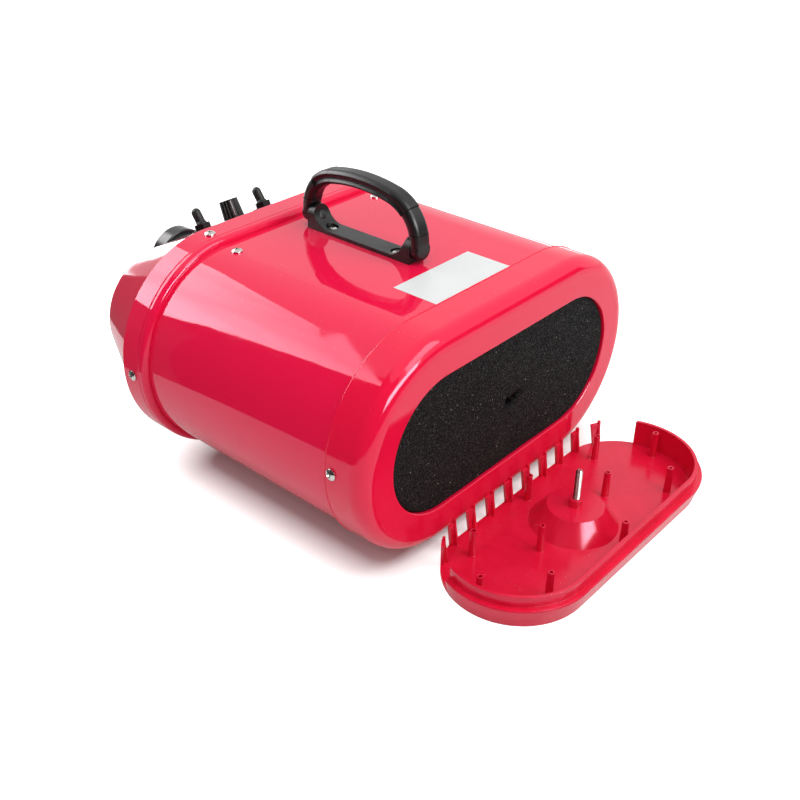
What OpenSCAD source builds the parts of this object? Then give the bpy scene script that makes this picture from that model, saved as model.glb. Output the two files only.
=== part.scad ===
// Twin-motor pet dryer with its slotted rear cover taken off and laid behind it.
// The frame has +Z up and the floor at z = 0. The hose outlet points along -Y, and the filter faces +Y.
// Millimetres throughout. "Depth" is measured forward, along -Y, from the rear face.

/* [Housing] */
// Half the distance between the centres of the two round ends
half_len = 70; // [62:1:82]
// Outer radius of the main shell's round ends
shell_r = 78.5; // [75:0.5:84]
// Wall of the moulded pieces
wall = 2.5; // [2:0.1:3]
// Thickness of the rubber feet under the shell
foot_h = 8; // [8:0.5:12]
// Length of shell between the rear cap and the front band
shell_show_len = 176; // [166:1:210]

/* [Rear cap and filter] */
// Length of the rear cap, from its face to its seam
cap_len = 32; // [28:1:40]
// Step from the shell up to the cap's skirt
cap_step = 1.5; // [1.2:0.1:2.5]
// Radius of the cap's outer edge
cap_edge_r = 11; // [8:0.5:14]
// Radius of the filter opening's round ends
filter_r = 51; // [46:0.5:55]
// Depth of the sponge's face below the cap's face
sponge_recess = 1.5; // [1:0.5:3]
// Thickness of the filter sponge
sponge_t = 12; // [10:0.5:15]
// Thickness of the grille behind the sponge
grille_t = 2; // [1.5:0.5:3]
// Pitch of the grille's bars
grille_pitch = 14; // [10:0.5:20]
// Radius of the hole through the sponge for the cover's stud
sponge_hole_r = 3; // [2.9:0.1:4]
// Half the length of the slit that the stud has torn in the sponge
sponge_slit = 4.5; // [2:0.5:8]

/* [Front band and nose] */
// Length of the band
band_len = 24; // [22:0.5:30]
// Height of the band above the shell
band_rise = 5; // [4.8:0.1:5.4]
// Radius of the band's rolled rear edge
band_roll_r = 4.4; // [3.5:0.1:4.7]
// Length of the nose hood beyond the band
nose_len = 67; // [62:1:80]
// Radius of the round ends at the nose's front face
nose_tip_r = 48.5; // [46:0.5:54]
// Edge radius of the nose's front face
nose_edge_r = 7; // [5:0.5:9]
// How far the hood's skirt runs back under the band
hood_lap = 17; // [14:0.5:18]

/* [Hose outlet] */
// Radius of the socket's bore
outlet_bore_r = 21; // [18:0.5:22]
// Wall of the socket
outlet_wall = 2.3; // [2:0.1:3]
// How far the socket stands out of the nose
outlet_len = 68; // [50:1:80]
// Radius of the collar at the socket's mouth
collar_r = 26.5; // [26:0.5:30]
// Length of that collar
collar_len = 14; // [10:0.5:20]
// Radius of the socket's flange
outlet_flange_r = 36; // [34:0.5:39]
// Thickness of the flange
outlet_flange_t = 3; // [2:0.5:4]

/* [Screws] */
// Shank radius of the housing screws
screw_r = 2; // [1.5:0.1:2.3]
// Head radius of the housing screws
screw_head_r = 4; // [3.5:0.1:4.6]
// Head height of the housing screws
screw_head_h = 2.4; // [2:0.1:2.8]
// Angle of the upper and lower screws above the horizontal
screw_angle = 88; // [80:1:90]
// Distance of the shell screws behind the band
shell_screw_back = 15.3; // [12:0.1:20]
// Angle of the rear cap's side screws above the horizontal
cap_screw_angle = 3.5; // [0:0.5:10]

/* [Handle] */
// Distance of the handle's middle in front of the rear cap's seam
handle_setback = 105; // [98:1:110]
// Length of the base plate
base_len = 100; // [90:1:110]
// Width of the base plate
base_w = 16; // [14:0.5:20]
// Thickness of the base plate
base_t = 3; // [2.5:0.1:5]
// Thickness of each ear
ear_t = 6; // [5:0.5:9]
// Radius of the hollow blend between the plate and an ear
ear_blend_r = 14; // [10:0.5:16]
// Height of the pivot above the shell
pivot_h = 10; // [9.5:0.5:14]
// Distance between the two base screws
base_screw_gap = 64; // [50:1:66]
// Thickness of each knuckle along the pivot
knuckle_t = 7.2; // [6:0.1:9]
// Height of each leg's straight part above the pivot
leg_h = 3.8; // [2:0.1:6]
// Height of the grip's middle line above the pivot
grip_rise = 36.9; // [34:0.1:42]
// Half the angle that the grip's shallow top arc spans
grip_angle = 12.4; // [10:0.2:16]
// Angle of the seams between the grip and the arms, above the level
grip_seam = 46; // [40:1:56]
// Width of the grip across the handle
grip_w = 15.5; // [15:0.5:18]
// Depth of the grip's section
grip_t = 10.8; // [10.2:0.1:12]
// Width of the arms across the handle
arm_w = 14.5; // [13.5:0.5:15]
// Depth of the arms' section
arm_t = 9.7; // [9:0.1:10]
// Pivot pin radius
pin_r = 2.5; // [2:0.1:3]

/* [Controls] */
// Distance of the control row behind the nose's front face
control_setback = 18; // [17:0.5:26]
// Distance between the two switches
switch_gap = 64; // [50:1:80]
// Tilt of a switch lever from the panel's normal
lever_tilt = 10.5; // [8:0.5:12]
// Radius of a switch's threaded bush
bush_r = 3.1; // [2.9:0.1:3.2]
// Length of the rubber boot above its pivot
boot_len = 14.3; // [12:0.1:18]
// Radius of the boot
boot_r = 3.8; // [3.5:0.1:4]
// Radius of the speed knob at its foot
knob_r = 8.6; // [8:0.1:11]
// Radius of the speed knob at its top
knob_top_r = 7.6; // [7.2:0.1:9]
// Height of the speed knob's top above the panel
knob_top = 16; // [14:0.5:20]
// Number of flutes round the speed knob
knob_flutes = 18; // [12:1:24]
// Width of each switch's case
case_w = 14; // [12:0.5:16]
// Length of each switch's case
case_l = 27; // [24:0.5:30]
// Depth of each switch's case
case_h = 18; // [16:0.5:20]
// Width of the speed board
board_w = 46; // [42:1:50]
// Length of the speed board
board_l = 92; // [88:1:96]
// Thickness of the speed board
board_t = 1.6; // [1.2:0.2:2]
// Height of the speed board's stand-offs
standoff_h = 12; // [8:1:14]
// Radius of the speed potentiometer's shaft
pot_shaft_r = 3; // [2.5:0.1:3.1]

/* [Motors] */
// Radius of each motor's fan can
can_r = 52; // [48:0.5:54]
// Length of the fan can
can_len = 42; // [38:1:46]
// Radius of each motor's frame
frame_r = 41; // [38:0.5:44]
// Length of the motor's frame in front of the can
frame_len = 63; // [60:1:66]
// Radius of the motor's armature
armature_r = 26; // [24:0.5:27]
// Radius of the motor's shaft
shaft_r = 4; // [3:0.5:5]
// Thickness of the rubber rings that hold the motors
ring_t = 9; // [7:0.5:11]
// Distance of each motor's axis inside the centre of its round end
motor_inset = 4; // [2:0.5:6]

/* [Rear cover] */
// Gap on the floor between the housing's rear face and the cover
cover_gap = 4.2; // [3:0.1:20]
// How far the loose cover lies to the left of the housing's middle
cover_shift = 11; // [0:1:20]
// Thickness of the cover's plate
plate_t = 3; // [2.5:0.1:4]
// Thickness of the cover's rim
rim_t = 2.4; // [2:0.1:3]
// Height of the rim above the cover's outer face
rim_h = 24; // [22:0.5:28]
// Height of the ledge that meets the rear cap
ledge_h = 16.2; // [14:0.1:18]
// Width of that ledge
ledge_w = 4.4; // [3:0.1:5]
// How far from the middle line towards the comb the solid wall ends
wall_end = 19.5; // [15:0.5:30]
// Pitch of the comb's bars
comb_pitch = 21.8; // [20:0.1:24]
// Depth of the rib behind each comb bar at its foot
comb_rib = 6; // [5:0.5:8]
// Width of a comb bar at its foot
comb_bar_w = 4; // [3.5:0.1:7]
// Width of a comb bar at its top
comb_bar_top_w = 8; // [6:0.1:11]
// Height of a comb bar
comb_bar_h = 21.5; // [19:0.5:22]
// Number of comb bars
comb_bars = 10; // [8:2:10]
// Radius of the cone at its foot
cone_r = 32; // [31.5:0.5:34]
// Radius of the cone's flat top
cone_top_r = 20.5; // [19:0.5:23]
// Height of the cone above the cover's plate
cone_rise = 15; // [13.5:0.5:16]
// Radius of the hollow posts at their foot
post_r = 2.9; // [2.5:0.1:3.2]
// Radius of the cover's stud
stud_r = 2.5; // [2:0.1:2.8]
// How far the stud stands out above its boss
stud_show = 24; // [18:0.1:26]
// Radius of the cover's knob
cover_knob_r = 12; // [10:0.5:12.5]

/* [Label] */
// Length of the blank label across the housing
label_w = 80; // [60:1:90]
// Width of the blank label along the housing
label_d = 39; // [30:1:44]

/* [Hidden] */
$fn = 48;

left = -1;
right = 1;
front = -1;
rear = 1;

eps = 0.01;      // overshoot of a cut past the face that it opens
seat_gap = 0.1;  // gap between curved faces that seat on each other
run_gap = 0.06;  // radial clearance of a shaft that turns in its hole
soft_gap = 0.3;  // gap round a soft or loose piece
hole_gap = 0.2;  // radial clearance of a screw in its hole

// Depths of the housing's seams, forward of the rear face
seam_d = cap_len;
band_d = seam_d + shell_show_len;
nose_d = band_d + band_len;
face_d = nose_d + nose_len;
mouth_d = face_d + outlet_len;
handle_d = seam_d + handle_setback;

// Radii of the housing's pieces
cap_r = shell_r + cap_step;
shell_in_r = shell_r - wall;
band_r = shell_r + band_rise;
hood_skirt_r = band_r - wall;
hood_base_r = hood_skirt_r - 0.3;
shell_rear_d = cap_edge_r + 1;
shell_front_d = nose_d - 4;

// The nose's slope
slope = atan((hood_base_r - nose_tip_r) / nose_len);
function slope_r(d) = hood_base_r - (d - nose_d) * tan(slope);
control_d = face_d - control_setback;

// The filter's seats
sleeve_t = 2.5;
grille_d = sponge_recess + sponge_t;
lip_d = grille_d + grille_t;
lip_w = 3;
lip_t = 2;

// The loose cover
rim_r = filter_r - 0.4;
skirt_r = rim_r + ledge_w;
cover_mid = cover_gap + rim_r;
boss_r = 5;
stud_top = rim_h + stud_show;
cone_h = plate_t + cone_rise;
recess_h = cone_h - rim_t;

// Where the frame's origin lies: on the floor, under the middle of the whole part's length
axis_z = shell_r + foot_h;
rear_y = (mouth_d - cover_mid - skirt_r) / 2;

// The handle's bow: straight legs, two shoulder arcs and a shallow top arc between them
bow_half = base_len / 2 + soft_gap + knuckle_t - arm_t / 2;
arc_ratio = (1 - cos(grip_angle)) / sin(grip_angle);
shoulder_r = (grip_rise - leg_h - bow_half * arc_ratio)
    / (cos(grip_angle) - arc_ratio * (1 - sin(grip_angle)));
grip_r = (bow_half - shoulder_r * (1 - sin(grip_angle))) / sin(grip_angle);
knuckle_r = base_w / 2 - 0.6;
ear_clear_h = base_w / 2 + 0.6;
seam_h = base_w / 2 + 3.5;

// The switches and the speed control, above the panel's outer face
switch_washer_t = 1;
switch_washer_r = 9;
switch_nut_top = 5.4;
switch_nut_r = 7;
lever_pivot = 4.2;
ball_r = boot_r + 0.8;
bush_top = lever_pivot + 0.6;
lever_ball_r = bush_r - 1.1;
lever_r = 1.3;
lever_len = boot_len - 4;
pot_bush_r = pot_shaft_r + 0.9;
pot_nut_t = 2.2;
pot_nut_r = 6.2;

// The motors and their plates
motor_x = half_len - motor_inset;
plate_edge_r = shell_in_r - seat_gap;
plate_sheet = 3;
plate_d = band_d - shell_screw_back - 9;
plate_flange_len = 16;
can_front_d = plate_d - ring_t - frame_len;
can_rear_d = can_front_d - can_len;
clamp_d = can_rear_d - ring_t - plate_sheet;
bell_t = 3;          // wall of the motor frame's partition and front bell
hub_depth = 8;       // how far the front bearing's hub stands into the frame
core_back = 11;      // from the partition to the iron
commutator_len = 6;
core_d = can_front_d + core_back;
core_len = frame_len - core_back - commutator_len - hub_depth - bell_t - 1;
duct_r = frame_r - 7;
rod_r = 2.5;
rod_out_x = motor_x + can_r + 6;
rod_mid_y = 32;

// The feet
foot_r = 10;
foot_x = half_len - 12;
foot_rear_d = seam_d + 22;
foot_front_d = band_d - 30;

// ---------------------------------------------------------------- frames and shared shapes

// Housing frame: X across, Y up, Z forward from the rear face
module housing() {
    translate([0, rear_y, axis_z]) rotate([90, 0, 0]) children();
}

// A spot on a round end: Z points out of the housing
module at_round_end(side, angle, depth, r) {
    translate([side * half_len, 0, depth])
        rotate([0, 0, side > 0 ? angle : 180 - angle])
            translate([r, 0, 0]) rotate([0, 90, 0]) children();
}

// A spot on the nose's flat upper slope: Z points out, Y points up the slope
module on_slope(x) {
    housing() translate([x, slope_r(control_d), control_d]) rotate([slope - 90, 0, 0]) children();
}

// One motor's axis in the housing frame
module motor_axis(side) {
    housing() translate([side * motor_x, 0, 0]) children();
}

module handle_frame() {
    translate([0, rear_y - handle_d, axis_z + shell_r]) children();
}

module cover_frame() {
    translate([-cover_shift, rear_y + cover_mid, 0]) children();
}

module stadium(r, half = half_len) {
    square([2 * half, 2 * r], center = true);
    for (s = [-1, 1]) translate([s * half, 0]) circle(r);
}

// Sweeps a profile of (radius, height) round a stadium: two half turns and two straights
module capsule(half = half_len) {
    for (turn = [0, 180]) rotate([0, 0, turn]) {
        translate([half, 0, 0]) rotate([0, 0, -90]) rotate_extrude(angle = 180) children();
        rotate([90, 0, 90]) linear_extrude(2 * half, center = true) children();
    }
}

// A slab from the axis to r whose outer corner at height 0 is rounded
module rounded_slab(r, h, round_r) {
    square([r - round_r, h]);
    translate([0, round_r]) square([r, h - round_r]);
    translate([r - round_r, round_r]) circle(round_r);
}

// A domed pan head on z = 0 with its shank below
module pan_screw(shank_len, shank_r = screw_r, head_r = screw_head_r, head_h = screw_head_h) {
    dome_h = head_h * 0.6;
    dome_r = (head_r * head_r + dome_h * dome_h) / (2 * dome_h);
    intersection() {
        cylinder(r = head_r, h = head_h);
        translate([0, 0, head_h - dome_r]) sphere(dome_r);
    }
    translate([0, 0, -shank_len]) cylinder(r = shank_r, h = shank_len + eps);
}

module screw_bore(r = screw_r) {
    translate([0, 0, -12]) cylinder(r = r + hole_gap, h = 24);
}

module at_shell_screws() {
    for (s = [-1, 1], a = [-screw_angle, screw_angle])
        at_round_end(s, a, band_d - shell_screw_back, shell_r) children();
}

module at_band_screws() {
    for (s = [-1, 1], a = [-screw_angle, 0, screw_angle])
        at_round_end(s, a, band_d + band_len * 0.56, band_r) children();
}

module at_cap_screws() {
    for (s = [-1, 1]) at_round_end(s, cap_screw_angle, seam_d - 6, cap_r) children();
}

module at_base_screws() {
    for (s = [-1, 1]) translate([0, s * base_screw_gap / 2, 0]) children();
}

module at_feet() {
    for (s = [-1, 1], d = [foot_rear_d, foot_front_d])
        translate([s * foot_x, rear_y - d, foot_h]) children();
}

// ---------------------------------------------------------------- housing

module main_shell() {
    color("#c8102e") difference() {
        housing() translate([0, 0, shell_rear_d]) linear_extrude(shell_front_d - shell_rear_d)
            difference() {
                stadium(shell_r);
                stadium(shell_in_r);
            }
        housing() {
            at_shell_screws() screw_bore();
            at_band_screws() screw_bore();
            at_cap_screws() screw_bore();
            at_gland() cylinder(r = gland_neck_r + seat_gap, h = 20, center = true);
        }
        handle_frame() at_base_screws() screw_bore();
        at_feet() screw_bore();
    }
}

module cap_profile() {
    difference() {
        rounded_slab(cap_r, cap_len, cap_edge_r);
        translate([0, wall]) rounded_slab(shell_r + seat_gap, cap_len, cap_edge_r - wall);
        translate([-eps, -eps]) square([filter_r + eps, cap_len]);
    }
    translate([filter_r, 0]) square([sleeve_t, lip_d + lip_t]);
    translate([filter_r - lip_w, lip_d]) square([lip_w + sleeve_t, lip_t]);
}

module rear_cap() {
    color("#c8102e") housing() difference() {
        capsule() difference() {
            cap_profile();
            // small break on the opening's edge
            translate([filter_r, 0]) rotate(45) square(0.8, center = true);
        }
        at_cap_screws() screw_bore();
    }
}

module band_profile() {
    roll_len = 6;
    difference() {
        rounded_slab(band_r, band_len, band_roll_r);
        translate([-eps, -eps]) square([shell_r + seat_gap + eps, band_len + 1]);
        translate([-eps, roll_len]) square([hood_skirt_r + seat_gap + eps, band_len]);
        // shallow valley that sets the rolled edge off from the flat
        translate([band_r + 0.5, roll_len + 0.6]) circle(0.9);
    }
}

module front_band() {
    color("#c8102e") housing() difference() {
        translate([0, 0, band_d]) capsule() band_profile();
        at_band_screws() screw_bore();
    }
}

// The hood's outline, drawn inset by t from its outer face
module hood_outline(t) {
    arc_r = nose_edge_r - t;
    arc_mid_r = nose_tip_r - nose_edge_r * (1 - sin(slope)) / cos(slope);
    arc_mid_d = face_d - nose_edge_r;
    skirt = t > 0 ? shell_r + seat_gap : hood_skirt_r;
    polygon([
        [0, nose_d - hood_lap - t], [skirt, nose_d - hood_lap - t], [skirt, nose_d - 1],
        [min(skirt, slope_r(nose_d) - t / cos(slope)), nose_d],
        [arc_mid_r + arc_r * cos(slope), arc_mid_d + arc_r * sin(slope)],
        [arc_mid_r, arc_mid_d + arc_r], [0, arc_mid_d + arc_r]
    ]);
    translate([arc_mid_r, arc_mid_d]) circle(arc_r);
}

module nose_hood() {
    color("#c8102e") difference() {
        housing() difference() {
            capsule() difference() {
                hood_outline(0);
                hood_outline(wall);
            }
            translate([0, 0, face_d - 10]) cylinder(r = outlet_bore_r + outlet_wall + hole_gap, h = 20);
            at_outlet_screws() screw_bore();
            at_band_screws() screw_bore();
        }
        for (s = [-1, 1]) on_slope(s * switch_gap / 2)
            cylinder(r = bush_r + hole_gap, h = 20, center = true);
        on_slope(0) cylinder(r = pot_bush_r + hole_gap, h = 20, center = true);
    }
}

module at_outlet_screws() {
    for (a = [45:90:315])
        translate([0, 0, face_d + outlet_flange_t]) rotate([0, 0, a])
            translate([outlet_flange_r - 5.5, 0, 0]) children();
}

// Neck, flange and mouth collar of the hose outlet, drawn as (radius, depth)
module outlet_profile() {
    neck_r = outlet_bore_r + outlet_wall;
    spigot_len = 10;
    tube_len = mouth_d - face_d + spigot_len;
    translate([outlet_bore_r, face_d - spigot_len]) square([outlet_wall, tube_len]);
    translate([outlet_bore_r, face_d]) difference() {
        square([outlet_flange_r - outlet_bore_r, outlet_flange_t]);
        translate([outlet_flange_r - outlet_bore_r, outlet_flange_t]) rotate(45) square(1.4, center = true);
    }
    // small root fillet between the neck and the flange
    translate([neck_r, face_d + outlet_flange_t]) difference() {
        square(2.5);
        translate([2.5, 2.5]) circle(2.5);
    }
    translate([outlet_bore_r, mouth_d - collar_len]) difference() {
        square([collar_r - outlet_bore_r, collar_len]);
        for (z = [0, collar_len])
            translate([collar_r - outlet_bore_r, z]) rotate(45) square(1.4, center = true);
    }
}

module hose_outlet() {
    color("#1c1c1e") housing() difference() {
        rotate_extrude() outlet_profile();
        at_outlet_screws() screw_bore();
    }
}

module shell_screws() {
    color("silver") housing() at_shell_screws() pan_screw(10);
}

module band_screws() {
    color("silver") housing() at_band_screws() pan_screw(11);
}

module cap_screws() {
    color("silver") housing() at_cap_screws() pan_screw(9);
}

module outlet_screws() {
    color("silver") housing() at_outlet_screws() pan_screw(10);
}

module blank_label() {
    color("white") housing() translate([-label_w / 2 + 2, shell_r, seam_d + seat_gap])
        cube([label_w, 0.2, label_d]);
}

// ---------------------------------------------------------------- handle

// Side view of the base: a plate with an ear at each end, blended by a hollow fillet
module base_side() {
    ear_in = base_len / 2 - ear_t;
    blend_r = ear_blend_r;
    ear_top = pivot_h + base_w / 2;
    translate([-base_len / 2, 0]) square([base_len, base_t]);
    for (m = [0, 1]) mirror([m, 0]) {
        translate([ear_in, 0]) square([ear_t, ear_top]);
        difference() {
            translate([ear_in - blend_r, 0]) square([blend_r + eps, base_t + blend_r]);
            translate([ear_in - blend_r, base_t + blend_r]) circle(blend_r);
        }
    }
}

// End view of the base: flat foot, round-topped ears
module base_end() {
    translate([-base_w / 2, 0]) square([base_w, pivot_h]);
    translate([0, pivot_h]) circle(base_w / 2);
}

// The base screws' heads stand on a floor of this thickness
base_floor = 1;

module handle_base() {
    color("#1c1c1e") handle_frame() difference() {
        intersection() {
            rotate([90, 0, 90]) linear_extrude(base_w, center = true) base_side();
            rotate([90, 0, 0]) linear_extrude(base_len, center = true) base_end();
        }
        at_base_screws() {
            screw_bore();
            translate([0, 0, base_floor]) cylinder(r = screw_head_r + 0.8, h = 20);
        }
        translate([0, 0, pivot_h]) rotate([90, 0, 0])
            cylinder(r = pin_r, h = base_len + 2, center = true);
    }
}

module handle_screws() {
    color("silver") handle_frame() at_base_screws() translate([0, 0, base_floor])
        pan_screw(11, head_h = 1.9);
}

module handle_pins() {
    pin_in = base_len / 2 - ear_t;
    pin_len = ear_t + knuckle_t - 1;
    color("silver") handle_frame() for (s = [-1, 1])
        translate([0, s * (pin_in + pin_len / 2), pivot_h]) rotate([90, 0, 0])
            cylinder(r = pin_r, h = pin_len, center = true);
}

// Rounded bar section with x across the bow's depth and y across its width
module round_bar(t, w, round_r) {
    square([t, w - 2 * round_r], center = true);
    square([t - 2 * round_r, w], center = true);
    for (x = [-1, 1], y = [-1, 1]) translate([x * (t / 2 - round_r), y * (w / 2 - round_r)]) circle(round_r);
}

module arm_section() {
    round_bar(arm_t, arm_w, 4);
}

// The grip has a hollow groove along each side; grow thickens the section all round
module grip_section(grow = 0) {
    groove_r = 3.3;
    groove_deep = 2;
    difference() {
        round_bar(grip_t + 2 * grow, grip_w + 2 * grow, 4.6 + grow);
        for (s = [-1, 1]) translate([0, s * (grip_w / 2 + groove_r - groove_deep)]) circle(groove_r - grow);
    }
}

// Sweeps a section along the rear shoulder arc, from angle a0 to a1 above the level
module shoulder_arc(a0, a1) {
    translate([0, bow_half - shoulder_r, pivot_h + leg_h]) rotate([90, 0, 90]) rotate([0, 0, a0])
        rotate_extrude(angle = a1 - a0) translate([shoulder_r, 0]) children();
}

// The front end mirrors the rear end
module at_bow_end(side) {
    handle_frame() mirror([0, side > 0 ? 0 : 1, 0]) children();
}

// Pivot boss lapped outside the ear; above the ear it takes the arm's full section
module handle_knuckle(side) {
    lap_y = base_len / 2 + soft_gap;
    color("#1c1c1e") at_bow_end(side) difference() {
        union() {
            translate([0, lap_y + knuckle_t, pivot_h]) rotate([90, 0, 0]) rotate_extrude()
                rounded_slab(knuckle_r, knuckle_t, 2.5);
            translate([0, bow_half, pivot_h]) linear_extrude(leg_h) rotate(90) arm_section();
            shoulder_arc(0, 25) arm_section();
        }
        translate([0, lap_y - 1, pivot_h]) rotate([-90, 0, 0])
            cylinder(r = pin_r + run_gap, h = knuckle_t + 0.5);
        translate([-20, 0, pivot_h + seam_h]) cube([40, 100, 40]);
        translate([-20, 0, -10]) cube([40, lap_y, pivot_h + ear_clear_h + 10]);
    }
}

module handle_arm(side) {
    color("#1c1c1e") at_bow_end(side) difference() {
        shoulder_arc(0, grip_seam) arm_section();
        translate([-20, 0, -10]) cube([40, 100, pivot_h + seam_h + 10]);
    }
}

// Shallow top arc whose ends run a little way into the thicker shoulder arcs
module handle_grip() {
    top_angle = grip_angle + 0.8;
    color("#1c1c1e") handle_frame() {
        translate([0, 0, pivot_h + grip_rise - grip_r]) rotate([90, 0, 90]) rotate([0, 0, 90 - top_angle])
            rotate_extrude(angle = 2 * top_angle) translate([grip_r, 0]) grip_section();
        for (m = [0, 1]) mirror([0, m, 0]) shoulder_arc(grip_seam, 90 - grip_angle) grip_section(0.1);
    }
}

// ---------------------------------------------------------------- switches and speed control

module switch_case(side) {
    case_size = [case_w, case_l, case_h];
    color("#8a2b22") on_slope(side * switch_gap / 2) {
        translate([0, 0, -wall - case_size[2] / 2]) cube(case_size, center = true);
        difference() {
            translate([0, 0, -wall - eps]) cylinder(r = bush_r, h = wall + bush_top + eps);
            translate([0, 0, lever_pivot - lever_ball_r - 0.1])
                cylinder(r = lever_ball_r + run_gap, h = lever_ball_r + 10);
        }
        for (y = [-case_l / 3, 0, case_l / 3]) translate([-2.4, y - 0.4, -wall - case_h - 7])
            cube([4.8, 0.8, 7 + eps]);
    }
}

module switch_washer(side) {
    color("#3a3a3c") on_slope(side * switch_gap / 2) difference() {
        cylinder(r = switch_washer_r, h = switch_washer_t);
        translate([0, 0, -1]) cylinder(r = bush_r + seat_gap, h = 4);
    }
}

// Hex nut on the bush, with a cup in which the boot's foot rocks
module switch_nut(side) {
    color("#1c1c1e") on_slope(side * switch_gap / 2) difference() {
        translate([0, 0, switch_washer_t])
            cylinder(r = switch_nut_r, h = switch_nut_top - switch_washer_t, $fn = 6);
        translate([0, 0, -1]) cylinder(r = bush_r + seat_gap, h = 10);
        translate([0, 0, lever_pivot - 1.6]) cylinder(r = ball_r + soft_gap, h = 10);
    }
}

// Rest position of a switch lever: tipped down the slope
module at_lever(side) {
    on_slope(side * switch_gap / 2) translate([0, 0, lever_pivot]) rotate([lever_tilt, 0, 0]) children();
}

module switch_boot(side) {
    color("#1c1c1e") at_lever(side) difference() {
        union() {
            sphere(ball_r);
            cylinder(r = boot_r, h = boot_len - boot_r);
            translate([0, 0, boot_len - boot_r]) sphere(boot_r);
        }
        translate([0, 0, -10 - 0.4]) cube([20, 20, 20], center = true);
        sphere(bush_r + 0.4);
        cylinder(r = lever_r + seat_gap, h = lever_len + seat_gap);
    }
}

module switch_lever(side) {
    color("silver") at_lever(side) {
        sphere(lever_ball_r);
        cylinder(r = lever_r, h = lever_len);
    }
}

module speed_knob() {
    knob_foot = 0.8;
    knob_h = knob_top - knob_foot;
    flute_r = 0.75;
    lean = atan((knob_r - knob_top_r) / knob_h);
    color("#1c1c1e") on_slope(0) difference() {
        translate([0, 0, knob_foot]) cylinder(r1 = knob_r, r2 = knob_top_r, h = knob_h);
        for (i = [0:knob_flutes - 1]) rotate([0, 0, i * 360 / knob_flutes])
            translate([knob_r + 0.2, 0, knob_foot - 1]) rotate([0, -lean, 0])
                cylinder(r = flute_r, h = knob_h + 3);
        // dished top
        translate([0, 0, knob_top - 0.8]) cylinder(r = knob_top_r - 1.4, h = 2);
        // hollow foot round the nut, then the shaft's hole
        translate([0, 0, -1]) cylinder(r = pot_nut_r + 0.4, h = 5.5);
        cylinder(r = pot_shaft_r, h = knob_top - 2.5);
    }
}

module pot_shaft() {
    color("silver") on_slope(0) translate([0, 0, -wall - 6])
        cylinder(r = pot_shaft_r, h = wall + 6 + knob_top - 3);
}

module pot_body() {
    color("#3f6d4a") on_slope(0) difference() {
        union() {
            translate([0, 0, -wall - 10]) cylinder(r = 12, h = 10);
            translate([0, 0, -wall - eps]) cylinder(r = pot_bush_r, h = wall + 3.6 + eps);
            for (x = [-5, 0, 5]) translate([x - 0.8, 10, -wall - 6]) cube([1.6, 8, 0.8]);
        }
        translate([0, 0, -wall - 7]) cylinder(r = pot_shaft_r + run_gap, h = 20);
    }
}

module pot_nut() {
    color("silver") on_slope(0) difference() {
        cylinder(r = pot_nut_r, h = pot_nut_t, $fn = 6);
        translate([0, 0, -1]) cylinder(r = pot_bush_r + seat_gap, h = 5);
    }
}

// Speed board on four stand-offs in front of the motor plate
module speed_board() {
    board = [board_w, board_l, board_t];
    board_d = plate_d + plate_sheet + standoff_h;
    color("#2f6b3a") housing() {
        translate([0, 0, board_d + board[2] / 2]) cube(board, center = true);
        for (x = [-1, 1], y = [-1, 1])
            translate([x * (board_w / 2 - 5), y * (board_l / 2 - 6), board_d - standoff_h])
                cylinder(r = 3, h = standoff_h + eps);
        translate([12, 22, board_d + board[2] - eps]) cylinder(r = 6.5, h = 22);
        translate([-14, 24, board_d + board[2] - eps]) cube([14, 16, 12]);
        translate([-16, -42, board_d + board[2] - eps]) cube([32, 10, 11]);
    }
}

module heat_sink() {
    sink_d = plate_d + plate_sheet + standoff_h + board_t;
    sink_w = board_w - 10;
    sink_l = board_l - 54;
    sink_base_t = 3;
    fin_t = 2;
    fin_h = 15;
    fin_pitch = 5.6;
    color("silver") housing() translate([-sink_w / 2, 20 - board_l / 2, sink_d]) {
        cube([sink_w, sink_l, sink_base_t]);
        for (x = [0:fin_pitch:sink_w - fin_t]) translate([x, 0, sink_base_t - eps])
            cube([fin_t, sink_l, fin_h]);
    }
}

// ---------------------------------------------------------------- motors

// Sheet plate across the shell with a flange that the shell screws hold
module motor_plate() {
    color("lightgrey") housing() difference() {
        union() {
            translate([0, 0, plate_d]) linear_extrude(plate_sheet) stadium(plate_edge_r);
            translate([0, 0, plate_d]) linear_extrude(plate_flange_len) difference() {
                stadium(plate_edge_r);
                stadium(plate_edge_r - 2);
            }
        }
        for (s = [-1, 1]) translate([s * motor_x, 0, plate_d - 1]) cylinder(r = duct_r, h = 6);
        at_shell_screws() screw_bore();
        at_rods() translate([0, 0, plate_d - 1]) cylinder(r = rod_r + hole_gap, h = 6);
    }
}

module motor_clamp_plate() {
    color("lightgrey") housing() difference() {
        translate([0, 0, clamp_d]) linear_extrude(plate_sheet) stadium(can_r + 12, motor_x);
        for (s = [-1, 1]) translate([s * motor_x, 0, clamp_d - 1]) cylinder(r = duct_r, h = 6);
        at_rods() translate([0, 0, clamp_d - 1]) cylinder(r = rod_r + hole_gap, h = 6);
    }
}

module at_rods() {
    for (s = [-1, 1]) {
        translate([s * rod_out_x, 0, 0]) children();
        translate([0, s * rod_mid_y, 0]) children();
    }
}

module tie_rods() {
    nut_r = 4.6;
    nut_t = 4;
    color("silver") housing() at_rods() {
        translate([0, 0, clamp_d - nut_t])
            cylinder(r = rod_r, h = plate_d + plate_sheet + 2 * nut_t - clamp_d);
        translate([0, 0, clamp_d - nut_t]) cylinder(r = nut_r, h = nut_t, $fn = 6);
        translate([0, 0, plate_d + plate_sheet]) cylinder(r = nut_r, h = nut_t, $fn = 6);
    }
}

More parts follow.
